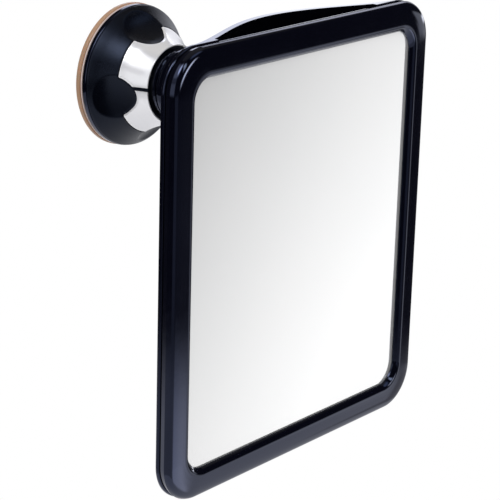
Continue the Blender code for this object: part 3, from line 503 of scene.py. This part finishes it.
class Painter:
    """Adds nodes to one node tree."""

    def __init__(self, tree):
        self.tree = tree

    def add(self, kind, **values):
        node = self.tree.nodes.new(kind)
        for name, value in values.items():
            setattr(node, name, value)
        return node

    def join(self, source, target):
        self.tree.links.new(source, target)

    def feed(self, node, key, value):
        if isinstance(value, bpy.types.NodeSocket):
            self.join(value, node.inputs[key])
        else:
            node.inputs[key].default_value = value

    def math(self, operation, one, two=0.0):
        node = self.add("ShaderNodeMath", operation=operation)
        self.feed(node, 0, one)
        self.feed(node, 1, two)
        return node.outputs[0]

    def noise(self, vector, scale, detail, rough):
        node = self.add("ShaderNodeTexNoise")
        self.feed(node, "Vector", vector)
        node.inputs["Scale"].default_value = scale
        node.inputs["Detail"].default_value = detail
        node.inputs["Roughness"].default_value = rough
        return node.outputs[0]

    def span(self, value, low, high, to_low=0.0, to_high=1.0, smooth=False):
        node = self.add("ShaderNodeMapRange",
                        interpolation_type="SMOOTHSTEP" if smooth else "LINEAR")
        self.feed(node, "Value", value)
        node.inputs["From Min"].default_value = low
        node.inputs["From Max"].default_value = high
        node.inputs["To Min"].default_value = to_low
        node.inputs["To Max"].default_value = to_high
        return node.outputs[0]

    def mix(self, factor, one, two):
        """Mix two colours, which are the node's inputs 6 and 7 and its output 2."""
        node = self.add("ShaderNodeMix", data_type="RGBA")
        self.feed(node, 0, factor)
        self.feed(node, 6, one)
        self.feed(node, 7, two)
        return node.outputs[2]


def shaded(name, near, far, roughness, grain, bump, metallic=0.0, scale=BROAD_NOISE_SCALE,
           **sockets):
    """A Principled material whose colour, roughness and bump vary over the surface.

    near and far are the ends of its colour, scale that of the broad changes; grain is the size
    of its finest marks in metres and bump their depth.
    """
    result = bpy.data.materials.new(name)
    result.use_nodes = True
    result.diffuse_color = (*near, 1.0)
    paint = Painter(result.node_tree)
    shader = result.node_tree.nodes["Principled BSDF"]
    place = paint.add("ShaderNodeTexCoord").outputs["Object"]
    broad = paint.noise(place, scale, *BROAD_NOISE)
    fine = paint.noise(place, 1.0 / grain, *FINE_NOISE)
    paint.join(paint.mix(paint.span(broad, *NOISE_RANGE), (*near, 1), (*far, 1)),
               shader.inputs["Base Color"])
    low, high = roughness
    rough = paint.math("ADD", paint.span(broad, *NOISE_RANGE, low, high),
                       paint.span(fine, *NOISE_RANGE, -(high - low) / 3, (high - low) / 3))
    paint.join(rough, shader.inputs["Roughness"])
    lift = paint.add("ShaderNodeBump")
    lift.inputs["Strength"].default_value = 1.0
    lift.inputs["Distance"].default_value = bump
    paint.join(fine, lift.inputs["Height"])
    paint.join(lift.outputs[0], shader.inputs["Normal"])
    shader.inputs["Metallic"].default_value = metallic
    for key, value in sockets.items():
        shader.inputs[key.replace("_", " ")].default_value = value
    return result


GLOSS_BLACK = shaded(
    "gloss_black", near=(0.0004, 0.0004, 0.0012), far=(0.0009, 0.0009, 0.0022),
    roughness=(0.05, 0.09), grain=0.0030, bump=0.000004,
    Specular_IOR_Level=0.8, Specular_Tint=BLACK_SHEEN)
SATIN_BLACK = shaded(
    "satin_black", near=(0.0008, 0.0011, 0.0026), far=(0.0020, 0.0024, 0.0046),
    roughness=(0.26, 0.35), grain=0.0004, bump=0.000030,
    IOR=1.36, Specular_Tint=SATIN_SHEEN)
SHELL_BLACK = shaded(
    "shell_black", near=(0.0005, 0.0005, 0.0014), far=(0.0011, 0.0011, 0.0026),
    roughness=(0.08, 0.13), grain=0.0010, bump=0.000006,
    Specular_IOR_Level=0.8, Specular_Tint=BLACK_SHEEN)
CHROME = shaded(
    "chrome_plate", near=(0.93, 0.93, 0.95), far=(0.97, 0.97, 0.98),
    roughness=(0.16, 0.22), grain=0.0015, bump=0.000004, metallic=0.45)
MIRROR = shaded(
    "mirrored_acrylic", near=(0.90, 0.905, 0.905), far=(0.92, 0.92, 0.92),
    roughness=(0.012, 0.020), grain=0.0400, bump=0.000002, metallic=0.72,
    scale=MIRROR_NOISE_SCALE)
TAN_GEL = shaded(
    "tan_gel", near=(0.36, 0.215, 0.13), far=(0.45, 0.28, 0.175),
    roughness=(0.32, 0.45), grain=0.0012, bump=0.000030,
    Subsurface_Weight=0.25, Subsurface_Scale=0.002)
PALE_RUBBER = shaded(
    "pale_rubber", near=(0.62, 0.50, 0.46), far=(0.72, 0.60, 0.56),
    roughness=(0.40, 0.55), grain=0.0010, bump=0.000015)
BLACK_RUBBER = shaded(
    "black_rubber", near=(0.014, 0.014, 0.015), far=(0.022, 0.022, 0.023),
    roughness=(0.60, 0.75), grain=0.0006, bump=0.000030)
WHITE_ACETAL = shaded(
    "white_acetal", near=(0.70, 0.70, 0.67), far=(0.78, 0.78, 0.75),
    roughness=(0.35, 0.45), grain=0.0009, bump=0.000010)
STEEL = shaded(
    "stainless_steel", near=(0.58, 0.58, 0.57), far=(0.66, 0.66, 0.64),
    roughness=(0.20, 0.32), grain=0.0003, bump=0.000006, metallic=1.0)

SLOT_FINISH = {
    "gloss_black": GLOSS_BLACK, "satin_black": SATIN_BLACK, "chrome_plate": CHROME,
    "mirrored_acrylic": MIRROR, "tan_gel": TAN_GEL, "pale_rubber": PALE_RUBBER,
    "black_rubber": BLACK_RUBBER, "white_acetal": WHITE_ACETAL, "stainless_steel": STEEL,
}
# Each solid takes its slot's finish; most of them are then replaced by drawn pieces
for part in frame["record"]["subparts"]:
    node = frame["nodes"][part["node"]]
    node.data.materials.clear()
    node.data.materials.append(SLOT_FINISH[part["material_slot"]])


# Suction mount
def disc(radius, bottom, top, edge):
    """Profile of a disc with rounded edges."""
    return softened([(0, top), (radius, top), (radius, bottom), (0, bottom)], edge, closed=False,
                    steps=DISC_SOFT_STEPS)


pad_profile = disc(PAD_RADIUS, 0, PAD_THICKNESS, PAD_EDGE_ROUND)
dress(scratch("wall_pad", lathe(pad_profile, closed=False)), "wall_mount", TAN_GEL, "tan_gel",
      "gel_pad")
backing_out = PAD_THICKNESS + FIT_GAP
backing_profile = disc(DIAPHRAGM_RADIUS, backing_out, backing_out + DIAPHRAGM_THICKNESS,
                       DIAPHRAGM_EDGE_ROUND)
dress(scratch("backing_disc", lathe(backing_profile, closed=False)), "wall_mount", PALE_RUBBER,
      "pale_rubber", "cup_diaphragm")

rim_inner = BASE_WEB_RADIUS - BASE_WALL
housing = scratch("housing", lathe(softened([
    (GUIDE_RADIUS, GUIDE_TOP), (GUIDE_RADIUS, WEB_TOP), (BASE_WEB_RADIUS, WEB_TOP),
    (BASE_WEB_RADIUS, BASE_RIM_OUT), (BASE_RADIUS, BASE_RIM_OUT), (BASE_RADIUS, BASE_OUT),
    (rim_inner, BASE_OUT), (rim_inner, WEB_BOTTOM), (GUIDE_BORE, WEB_BOTTOM),
    (GUIDE_BORE, GUIDE_TOP)], HOUSING_EDGE_ROUND)))
slot_half = PIN_RADIUS + FIT_GAP
carve(housing, [(box_form((-GUIDE_RADIUS - OVERRUN, -slot_half, PIN_OUT - slot_half),
                          (GUIDE_RADIUS + OVERRUN, slot_half, PIN_OUT + STEM_TRAVEL + slot_half)),
                 "DIFFERENCE")])
dress(housing, "wall_mount", GLOSS_BLACK, "gloss_black", "base_housing")


# Knob and collar
def flank_point(share):
    """A point (radius, height) of the knob's flank."""
    across, along = share
    return (KNOB_NECK_RADIUS + (KNOB_RIM_RADIUS - KNOB_NECK_RADIUS) * across,
            KNOB_OUT + KNOB_HEIGHT * along)


FLANK = [flank_point(share) for share in KNOB_FLANK_SHARES]
FLANK_FINE = smooth_path(FLANK[1:], FLANK_STEPS)
SPLIT = (COLLAR_START - 1) * FLANK_STEPS
LOWER_FLANK = [FLANK[0]] + FLANK_FINE[:SPLIT]
UPPER_FLANK = FLANK_FINE[SPLIT:]


def scallop_frames():
    """Where the finger grips sit: centre, and the directions through, across and along."""
    rim_radius, rim_height = FLANK[SCALLOP_LOW_POINT]
    neck_radius, neck_height = FLANK[SCALLOP_HIGH_POINT]
    along_share, height_share = SCALLOP_PLACE_SHARES
    radius = rim_radius + (neck_radius - rim_radius) * along_share
    height = rim_height + (neck_height - rim_height) * height_share
    slope = math.atan2(neck_height - rim_height, rim_radius - neck_radius)
    lift = SCALLOP_THROUGH - SCALLOP_DEPTH
    frames = []
    for index in range(SCALLOP_COUNT):
        angle = SCALLOP_FIRST_ANGLE + 2 * math.pi * index / SCALLOP_COUNT
        spin = Matrix.Rotation(angle, 3, "Z")
        centre = spin @ Vector((radius + lift * math.sin(slope), 0,
                                height + lift * math.cos(slope)))
        turn = spin @ Matrix.Rotation(slope - math.pi / 2, 3, "Y")
        frames.append((centre, turn @ Vector((1, 0, 0)), turn @ Vector((0, 1, 0)),
                       turn @ Vector((0, 0, 1))))
    return frames


def scallop_ball(centre, through, across, along):
    """The ball, drawn out to three sizes, that a finger grip is a part of."""
    ball = bmesh.new()
    bmesh.ops.create_uvsphere(ball, u_segments=SCALLOP_SEGMENTS, v_segments=SCALLOP_RINGS,
                              radius=1)
    bmesh.ops.scale(ball, vec=(SCALLOP_THROUGH, SCALLOP_ACROSS, SCALLOP_ALONG), verts=ball.verts)
    spot = Matrix((through, across, along)).transposed().to_4x4()
    spot.translation = centre
    ball.transform(spot)
    return ball


def sink_scallops(form):
    """Press the finger grips into a form's outer side, with their edges softened."""
    soft = SCALLOP_SOFTNESS
    frames = scallop_frames()
    for vertex in form.verts:
        for centre, through, across, along in frames:
            offset = vertex.co - centre
            v = offset.dot(across) / SCALLOP_ACROSS
            w = offset.dot(along) / SCALLOP_ALONG
            rest = 1 - v * v - w * w
            if rest <= 0.0:
                continue
            sink = offset.dot(through) + SCALLOP_THROUGH * math.sqrt(rest)
            if sink < SCALLOP_SOFT_START * soft:
                continue
            if sink <= SCALLOP_SOFT_END * soft:
                sink = soft * math.log1p(math.exp(sink / soft))
            vertex.co -= through * sink


seat_inset = COLLAR_WALL + COLLAR_GAP
seat = [(radius - seat_inset, min(height, KNOB_SEAT)) for radius, height in UPPER_FLANK]
step_radius = FLANK[COLLAR_START][0]
step_out = FLANK[COLLAR_START][1] - FIT_GAP
below_step = [point for point in LOWER_FLANK[::-1] if point[1] < step_out - KNOB_STEP_ROOM]
knob_outer = subdivided(
    [(GUIDE_RADIUS + FIT_GAP, KNOB_SEAT)] + seat[:0:-1]
    + [(step_radius - seat_inset, step_out), (step_radius + FIT_GAP, step_out)] + below_step,
    KNOB_LONGEST_FACE)
cavity_outer = KNOB_RIM_RADIUS - KNOB_RIM_WALL
cavity = [(HUB_RADIUS + (cavity_outer - HUB_RADIUS) * across, KNOB_OUT + KNOB_HEIGHT * along)
          for across, along in KNOB_CAVITY_SHARES]
knob_inner = [(cavity_outer, KNOB_OUT)] + cavity + [
    (HUB_RADIUS, cavity[-1][1]), (HUB_RADIUS, CAM_OUT), (HUB_BORE, CAM_OUT), (HUB_BORE, HUB_ROOF),
    (GUIDE_RADIUS + FIT_GAP, HUB_ROOF)]
knob_form = lathe(knob_outer + knob_inner, steps=KNOB_STEPS)
sink_scallops(knob_form)
dress(scratch("grip_knob", knob_form), "knob", SATIN_BLACK, "satin_black", "twist_knob",
      sharp=KNOB_SHARP_TURN)

collar_profile = UPPER_FLANK[::-1] + [(radius - COLLAR_WALL, height)
                                      for radius, height in UPPER_FLANK]
collar = scratch("bright_collar", lathe(softened(collar_profile, COLLAR_EDGE_ROUND),
                                        steps=COLLAR_STEPS))
seam = box_form((0, -COLLAR_SEAM_WIDTH / 2, KNOB_OUT),
                (KNOB_RIM_RADIUS, COLLAR_SEAM_WIDTH / 2, KNOB_TOP + OVERRUN))
seam.transform(Matrix.Rotation(COLLAR_SEAM_ANGLE, 4, "Z"))
carve(collar, [(scallop_ball(*grip), "DIFFERENCE") for grip in scallop_frames()]
      + [(seam, "DIFFERENCE")])
dress(collar, "knob", CHROME, "chrome_plate", "chrome_collar")

# Nut, stud and boss
front_height = BALL_OUT + LINER_TOP + FIT_GAP
mouth_slope = math.tan(MOUTH_ANGLE)
nut_top = front_height + NUT_LIP - NUT_EDGE
pitch = (nut_top - NUT_OUT) / NUT_RING_COUNT
crest, valley, rise = [pitch * share for share in NUT_RING_SHARES]
nut_outer = [((LINER_TOP + FIT_GAP + NUT_LIP) * mouth_slope, front_height + NUT_LIP),
             (NUT_RADIUS - NUT_EDGE, front_height + NUT_LIP)]
for ring in range(NUT_RING_COUNT):
    ring_top = nut_top - ring * pitch
    nut_outer += [(NUT_RADIUS, ring_top), (NUT_RADIUS, ring_top - crest),
                  (NUT_RADIUS - NUT_RING_DEPTH, ring_top - valley),
                  (NUT_RADIUS - NUT_RING_DEPTH, ring_top - rise)]
nut_outer[-1] = (NUT_RADIUS - NUT_RING_DEPTH, NUT_OUT)
nut_inner = [(NUT_BORE, NUT_OUT), (NUT_BORE, front_height),
             ((LINER_TOP + FIT_GAP) * mouth_slope, front_height)]
dress(scratch("ring_nut", lathe(softened(nut_outer + nut_inner, NUT_EDGE_ROUND))), "nut",
      GLOSS_BLACK, "gloss_black", "lock_nut", sharp=NUT_SHARP_TURN)

stud_top = [(0, STUD_LENGTH), (STUD_FLANGE_RADIUS, STUD_LENGTH),
            (STUD_FLANGE_RADIUS, STUD_LENGTH - STUD_FLANGE_THICKNESS),
            (STUD_RADIUS, STUD_LENGTH - STUD_FLANGE_THICKNESS)]
stud_ball = arc(BALL_RADIUS, math.asin(STUD_RADIUS / BALL_RADIUS), math.pi, BALL_ARC_STEPS)
stud = softened(stud_top + stud_ball[:-1] + [(0, -BALL_RADIUS)], STUD_EDGE_ROUND, closed=False)
dress(scratch("stud_with_ball", lathe(stud, closed=False, steps=STUD_STEPS)), "ball", GLOSS_BLACK,
      "gloss_black", "ball_stud", matrix=BALL)

boss_flank = [(BOSS_NOSE_RADIUS + (BOSS_RADIUS - BOSS_NOSE_RADIUS) * across,
               BOSS_BACK - BOSS_HEIGHT * down) for across, down in BOSS_FLANK_SHARES]
pocket = STUD_FLANGE_RADIUS + FIT_GAP
bore = STUD_RADIUS + FIT_GAP
roof = STUD_TOP - STUD_FLANGE_THICKNESS - FIT_GAP
boss = scratch("boss_cone", lathe(softened(
    [(pocket, BOSS_BACK), (BOSS_RADIUS, BOSS_BACK)] + smooth_path(boss_flank[::-1], FLANK_STEPS)
    + [(bore, BOSS_BACK - BOSS_HEIGHT), (bore, roof), (pocket, roof)], BOSS_EDGE_ROUND)))
boss_places = [(BOSS_SCREW_CIRCLE * math.cos(math.radians(degrees)),
                BOSS_SCREW_CIRCLE * math.sin(math.radians(degrees)))
               for degrees in BOSS_SCREW_DEGREES]
boss_seat = BOSS_BACK - BOSS_FLANGE
carve(boss, [
    (cylinder_form(boss_places, BOSS_SCREW_RADIUS + FIT_GAP, boss_seat - OVERRUN,
                   BOSS_BACK + OVERRUN), "DIFFERENCE"),
    (cylinder_form(boss_places, BOSS_SCREW_HEAD_RADIUS + FIT_GAP, BOSS_BACK - BOSS_HEIGHT,
                   boss_seat + FIT_GAP), "DIFFERENCE")])
dress(boss, "mirror_head", GLOSS_BLACK, "gloss_black", "swivel_boss", matrix=STUD_AXIS)


# Mirror head
arch = smooth_path([(BEZEL_WIDTH * across, CREST_HEIGHT * up) for across, up in ARCH_SHARES],
                   ARCH_STEPS)
section = softened([(0, FIT_GAP)] + arch + [
    (BEZEL_WIDTH - BEZEL_TAPER, -BEZEL_SIDE_DEPTH), (POCKET_EDGE, -BEZEL_SIDE_DEPTH),
    (POCKET_EDGE, FIT_GAP)], MOULDING_EDGE_ROUND)
dress(scratch("frame_moulding", ring_form(section)), "mirror_head", GLOSS_BLACK, "gloss_black",
      "front_bezel", matrix=HEAD, sharp=BEZEL_SHARP_TURN)
sheet = scratch("mirror_plate", plate_form(MIRROR_OVERLAP, -MIRROR_THICKNESS, 0,
                                           MIRROR_EDGE_ROUND))
dress(sheet, "mirror_head", MIRROR, "mirrored_acrylic", "mirror_sheet", matrix=HEAD)


def bulge_height(x, y):
    """How far the bulge stands, from 0 at its edges to 1 along its deepest line."""
    if abs(x) >= BULGE_HALF_WIDTH:
        return 0.0
    across = math.cos(math.pi / 2 * x / BULGE_HALF_WIDTH) ** BULGE_POWER
    fall = min(1.0, max(0.0, (y - BULGE_FOOT) / (BULGE_SHOULDER - BULGE_FOOT)))
    return across * fall * fall * (3 - 2 * fall)


def bulge_form(wall, half_width, top, front):
    """A block whose back follows the bulge, sunk by the wall's thickness; its front is flat."""
    form = bmesh.new()
    bmesh.ops.create_grid(form, x_segments=BULGE_CELLS_ACROSS, y_segments=BULGE_CELLS_ALONG,
                          size=0.5)
    for vertex in form.verts:
        vertex.co.x *= 2 * half_width
        vertex.co.y = (top + BULGE_FOOT) / 2 + vertex.co.y * (top - BULGE_FOOT)
        vertex.co.z = front
    made = bmesh.ops.extrude_face_region(form, geom=form.faces[:])
    for vertex in made["geom"]:
        if isinstance(vertex, bmesh.types.BMVert):
            bulge = (BULGE_DEPTH + BULGE_SINK) * bulge_height(vertex.co.x, vertex.co.y)
            vertex.co.z = SHELL_BACK + BULGE_SINK - bulge + wall
    bmesh.ops.recalc_face_normals(form, faces=form.faces)
    return form


def shell_screw_places():
    """Where the shell's screws stand: down both sides and along the bottom."""
    side_x = FRAME_WIDTH / 2 - SHELL_SCREW_INSET
    low_y = FRAME_HEIGHT / 2 - SHELL_SCREW_INSET
    places = []
    for share in SHELL_SCREW_SIDE_SHARES:
        places += [(-side_x, share * FRAME_HEIGHT / 2), (side_x, share * FRAME_HEIGHT / 2)]
    places += [(share * FRAME_WIDTH / 2, -low_y) for share in SHELL_SCREW_BOTTOM_SHARES]
    return places


shell = scratch("reservoir_shell", plate_form(BEZEL_WIDTH, SHELL_BACK, SHELL_FRONT,
                                              SHELL_EDGE_ROUND))
hub = [(0, AXIS_ABOVE_MIRROR_CENTRE)]
water = scratch("water", bulge_form(BULGE_WALL, WATER_HALF_WIDTH, HEAD_TOP + OVERRUN, OVERRUN))
carve(water, [(box_form((-FRAME_WIDTH / 2, HEAD_TOP - MOUTH_STRIP, SHELL_FRONT - MOUTH_WALL),
                        (FRAME_WIDTH / 2, HEAD_TOP - MOUTH_WALL_DROP, 2 * OVERRUN)),
               "DIFFERENCE")])
water_form = bmesh.new()
water_form.from_mesh(water.data)
bpy.data.objects.remove(water)
shell_places = shell_screw_places()
pad_screw_places = [(x, y + AXIS_ABOVE_MIRROR_CENTRE) for x, y in boss_places]
carve(shell, [
    (bulge_form(0, BULGE_HALF_WIDTH, HEAD_TOP, SHELL_FRONT - MOUTH_WALL / 2), "UNION"),
    (cylinder_form(hub, SHELL_PAD_RADIUS, PAD_FACE, PAD_FACE + SHELL_PAD_THICKNESS / 2,
                   HUB_STEPS), "UNION"),
    (water_form, "DIFFERENCE"),
    (cylinder_form(hub, SHELL_PAD_RADIUS - BULGE_WALL, PAD_FACE + BULGE_WALL / 2,
                   PAD_FACE + SHELL_PAD_THICKNESS, HUB_STEPS), "UNION"),
    (cylinder_form(pad_screw_places, BOSS_SCREW_RADIUS + FIT_GAP, PAD_FACE - OVERRUN,
                   boss_seat + BOSS_SCREW_LENGTH + FIT_GAP), "DIFFERENCE"),
    (cylinder_form(shell_places, SHELL_SCREW_RADIUS + FIT_GAP, SHELL_BACK - OVERRUN,
                   SHELL_FRONT + OVERRUN), "DIFFERENCE"),
    (cylinder_form(shell_places, SHELL_SCREW_HEAD_RADIUS + FIT_GAP, SHELL_BACK - OVERRUN,
                   SHELL_SCREW_SEAT + FIT_GAP), "DIFFERENCE"),
])
dress(shell, "mirror_head", SHELL_BLACK, "satin_black", "rear_shell", matrix=HEAD,
      sharp=SHELL_SHARP_TURN)


# Screws of the mirror head
def screw_form(radius, head_radius, head_height, length):
    """A screw along +z from the face where its head bears; its tip and its head are rounded."""
    tip = radius * SCREW_TIP_SHARE
    return lathe(softened([
        (0, length), (tip, length), (radius, length - tip), (radius, 0), (head_radius, 0),
        (head_radius, -head_height * SCREW_HEAD_WALL_SHARE),
        (head_radius * SCREW_HEAD_CROWN_SHARE, -head_height), (0, -head_height)],
        SCREW_EDGE_ROUND, closed=False), closed=False, steps=SCREW_STEPS)


def make_screws(name, sizes, spots, seat_out, node, matrix):
    """Screws with a cross recess, one for each plain screw of the solids; sizes as screw_form's."""
    _, head_radius, head_height, _ = sizes
    arm, wide = head_radius * RECESS_ARM_SHARE, head_radius * RECESS_HALF_WIDTH_SHARE
    outside, floor_out = -head_height - OVERRUN, -head_height * RECESS_FLOOR_SHARE
    for index, (x, y) in enumerate(spots, start=1):
        screw = scratch(f"{name}_{index}", screw_form(*sizes))
        carve(screw, [
            (box_form((-arm, -wide, outside), (arm, wide, floor_out)), "DIFFERENCE"),
            (box_form((-wide, -arm, outside), (wide, arm, floor_out)), "DIFFERENCE")])
        turned = Matrix.Rotation(index * SCREW_TURN_STEP, 4, "Z")
        dress(screw, "mirror_head", STEEL, "stainless_steel", f"{node}_{index}",
              matrix=matrix @ Matrix.Translation((x, y, seat_out)) @ turned)


make_screws("back_screw", (SHELL_SCREW_RADIUS, SHELL_SCREW_HEAD_RADIUS, SHELL_SCREW_HEAD_HEIGHT,
                           SHELL_SCREW_LENGTH), shell_places, SHELL_SCREW_SEAT, "shell_screw",
            HEAD)
make_screws("hub_screw", (BOSS_SCREW_RADIUS, BOSS_SCREW_HEAD_RADIUS, BOSS_SCREW_HEAD_HEIGHT,
                          BOSS_SCREW_LENGTH), boss_places, boss_seat, "boss_screw", STUD_AXIS)

# Floor, which only the camera sees as plain white
FLOOR_LEVEL = -0.90
FLOOR_RADIUS = 12.0
FLOOR_GREY = (0.80, 0.80, 0.80, 1)
FLOOR_ROUGHNESS = 0.9
WHITE = (1, 1, 1, 1)

floor_form = bmesh.new()
bmesh.ops.create_circle(floor_form, cap_ends=True, segments=FLOOR_STEPS, radius=FLOOR_RADIUS)
floor_form.transform(Matrix.Translation((0, 0, FLOOR_LEVEL)))
floor = scratch("floor", floor_form)
floor.visible_glossy = False
floor_finish = bpy.data.materials.new("floor")
floor_finish.use_nodes = True
floor_paint = Painter(floor_finish.node_tree)
surface = floor_finish.node_tree.nodes["Principled BSDF"]
surface.inputs["Base Color"].default_value = FLOOR_GREY
surface.inputs["Roughness"].default_value = FLOOR_ROUGHNESS
glow = floor_paint.add("ShaderNodeEmission")
glow.inputs["Color"].default_value = WHITE
rays = floor_paint.add("ShaderNodeLightPath")
choice = floor_paint.add("ShaderNodeMixShader")
floor_paint.join(rays.outputs["Is Camera Ray"], choice.inputs[0])
floor_paint.join(surface.outputs[0], choice.inputs[1])
floor_paint.join(glow.outputs[0], choice.inputs[2])
floor_paint.join(choice.outputs[0],
                 floor_finish.node_tree.nodes["Material Output"].inputs["Surface"])
floor.data.materials.append(floor_finish)

# Studio round the object; its directions are azimuths from -y towards +x and elevations, in degrees
DARK_ROUND = (0.03, 0.03, 0.045, 1)
LIGHT_GROUND = (0.88, 0.88, 0.91, 1)
GROUND_START = -20
GROUND_FULL = -23.5
TUBE_END_SOFTNESS = 0.02
PLAIN_ROUND = (0.86, 0.86, 0.88, 1)

# What the mirror sheet shows the camera: a panel that brightens along an axis
GLASS_AXIS = (0.8763, 0, -0.4818)
GLASS_SPAN = (0.7584, 0.8277)
GLASS_DIM = (0.468, 0.468, 0.468, 1)
GLASS_BRIGHT = (1.16, 1.16, 1.16, 1)
GLASS_PLACE = (47, 57, -25, -11, 1.2)

world = bpy.data.worlds.new("studio")
bpy.context.scene.world = world
world.use_nodes = True
world.node_tree.nodes.clear()
paint = Painter(world.node_tree)
direction = paint.add("ShaderNodeTexCoord").outputs["Generated"]
split = paint.add("ShaderNodeSeparateXYZ")
paint.join(direction, split.inputs[0])


def toward(azimuth, elevation):
    """The direction at an azimuth and an elevation."""
    a, e = math.radians(azimuth), math.radians(elevation)
    return (math.sin(a) * math.cos(e), -math.cos(a) * math.cos(e), math.sin(e))


def level(elevation):
    """The height of an elevation on the unit ball."""
    return math.sin(math.radians(elevation))


def along(axis):
    """How far each direction runs along an axis."""
    node = paint.add("ShaderNodeVectorMath", operation="DOT_PRODUCT")
    paint.join(direction, node.inputs[0])
    node.inputs[1].default_value = axis
    return node.outputs["Value"]


def patch(tint, under, azimuth, elevation, inner, outer):
    """Paint a round light that is full within the inner angle and ends at the outer one."""
    factor = paint.span(along(toward(azimuth, elevation)), math.cos(math.radians(outer)),
                        math.cos(math.radians(inner)), smooth=True)
    return paint.mix(factor, under, tint)


def panel(tint, under, left, right, bottom, top, soft):
    """Paint a soft-edged panel between two azimuths and two elevations."""
    blur = math.sin(math.radians(soft))
    factor = paint.span(along(toward(left + 90, 0)), -blur, blur, smooth=True)
    for axis, low, high in (
            (toward(right - 90, 0), -blur, blur),
            ((0, 0, 1), level(bottom - soft), level(bottom + soft)),
            ((0, 0, -1), -level(top + soft), -level(top - soft))):
        factor = paint.math("MULTIPLY", factor, paint.span(along(axis), low, high, smooth=True))
    return paint.mix(factor, under, tint)


def tube(tint, under, first, last, inner, outer):
    """Paint a long thin light between two directions, full within its inner half width."""
    one, two = Vector(toward(*first)), Vector(toward(*last))
    middle = (one + two).normalized()
    aside = along(one.cross(two).normalized())
    ends = math.cos(one.angle(two) / 2)
    far = math.sin(math.radians(outer))
    near = math.sin(math.radians(inner))
    factor = paint.math(
        "MULTIPLY", paint.span(paint.math("ABSOLUTE", aside), far, near, smooth=True),
        paint.span(along(middle), ends - TUBE_END_SOFTNESS, ends + TUBE_END_SOFTNESS, smooth=True))
    return paint.mix(factor, under, tint)


# The lights that glossy surfaces see, painted one over the other: kind, colour and place
STUDIO_LIGHTS = (
    (panel, (0.50, 0.50, 0.52), (-150, 8, -36, -22, 1.5)),
    (panel, (2.0, 2.0, 2.1), (14, 46, -38, -22.5, 3)),
    (panel, (0.46, 0.45, 0.47), (60, 95, -33, -22, 1.5)),
    (panel, (0.20, 0.21, 0.25), (-34, 8, -21, -9, 3)),
    (panel, (0.10, 0.10, 0.12), (6, 46, -20, -14, 3)),
    (panel, (0.82, 0.83, 0.86), (-124, -52, -6, 22, 5)),
    (panel, (1.25, 1.26, 1.30), (-124, -36, 33, 68, 5)),
    (panel, (0.75, 0.76, 0.80), (-124, -92, 20, 35, 4)),
    (panel, (0.50, 0.50, 0.54), (-92, -52, 24, 31, 4)),
    (patch, (8.0, 8.1, 8.5), (-54, 52, 2, 16)),
    (tube, (11.0, 10.5, 9.5), ((17.5, -2.5), (33, 11), 2, 4.5)),
    (tube, (3.6, 3.8, 3.7), ((-12, 48), (7, 20), 2.5, 6)),
    (patch, (0.6, 0.7, 0.9), (36, 44, 6, 18)),
    (patch, (0.24, 0.215, 0.18), (90, 72, 24, 36)),
    (panel, (0.90, 0.90, 0.92), (60, 84, -11, -1, 1.5)),
    (panel, (0.80, 0.81, 0.88), (99, 124, -14, 28, 5)),
    (panel, (2.0, 2.0, 2.15), (101, 124, 28, 35, 1.5)),
    (tube, (5.0, 5.0, 5.1), ((76, -4.5), (97, -2), 1, 2.5)),
    (panel, (1.7, 1.75, 2.05), (127, 142, 3, 38, 1.5)),
    (panel, (2.5, 2.55, 2.7), (125, 129, 3, 24, 1)),
)
studio = paint.mix(paint.span(split.outputs["Z"], level(GROUND_START), level(GROUND_FULL),
                              smooth=True), DARK_ROUND, LIGHT_GROUND)
for kind, tint, place in STUDIO_LIGHTS:
    studio = kind((*tint, 1), studio, *place)
glass = paint.mix(paint.span(along(GLASS_AXIS), *GLASS_SPAN), GLASS_DIM, GLASS_BRIGHT)
studio = panel(glass, studio, *GLASS_PLACE)

lights = paint.add("ShaderNodeLightPath")
unseen = paint.mix(lights.outputs["Is Glossy Ray"], PLAIN_ROUND, studio)
shown = paint.mix(lights.outputs["Is Camera Ray"], unseen, WHITE)
back = paint.add("ShaderNodeBackground")
paint.join(shown, back.inputs["Color"])
end = paint.add("ShaderNodeOutputWorld")
paint.join(back.outputs[0], end.inputs["Surface"])

# Key lamp, a soft square that glossy surfaces don't show
LAMP_PLACE = Vector((-0.9, -1.3, 1.4))
LAMP_AIM = Vector((0, -0.06, 0))
LAMP_SIZE = 0.9
LAMP_POWER = 12.0
LAMP_COLOR = (1.0, 0.99, 0.97)

lamp_data = bpy.data.lights.new("key", "AREA")
lamp_data.shape = "SQUARE"
lamp_data.size = LAMP_SIZE
lamp_data.energy = LAMP_POWER
lamp_data.color = LAMP_COLOR
lamp = bpy.data.objects.new("key", lamp_data)
bpy.context.scene.collection.objects.link(lamp)
lamp.location = LAMP_PLACE
lamp.rotation_euler = (LAMP_AIM - LAMP_PLACE).to_track_quat("-Z", "Y").to_euler()
lamp.visible_glossy = False

# Camera, with its angles in degrees
CAMERA_PLACE = (-0.68408, -0.63896, 0.21843)
CAMERA_ANGLES = (71.877, -1.581, -50.219)
CAMERA_LENS = 144.0
CAMERA_SENSOR = 36.0
CAMERA_CLIP = (0.05, 60.0)

camera_data = bpy.data.cameras.new("camera")
camera_data.lens = CAMERA_LENS
camera_data.sensor_width = CAMERA_SENSOR
camera_data.clip_start, camera_data.clip_end = CAMERA_CLIP
camera = bpy.data.objects.new("camera", camera_data)
bpy.context.scene.collection.objects.link(camera)
camera.location = CAMERA_PLACE
camera.rotation_euler = [math.radians(angle) for angle in CAMERA_ANGLES]
bpy.context.scene.camera = camera
bpy.context.scene.view_settings.view_transform = "Standard"
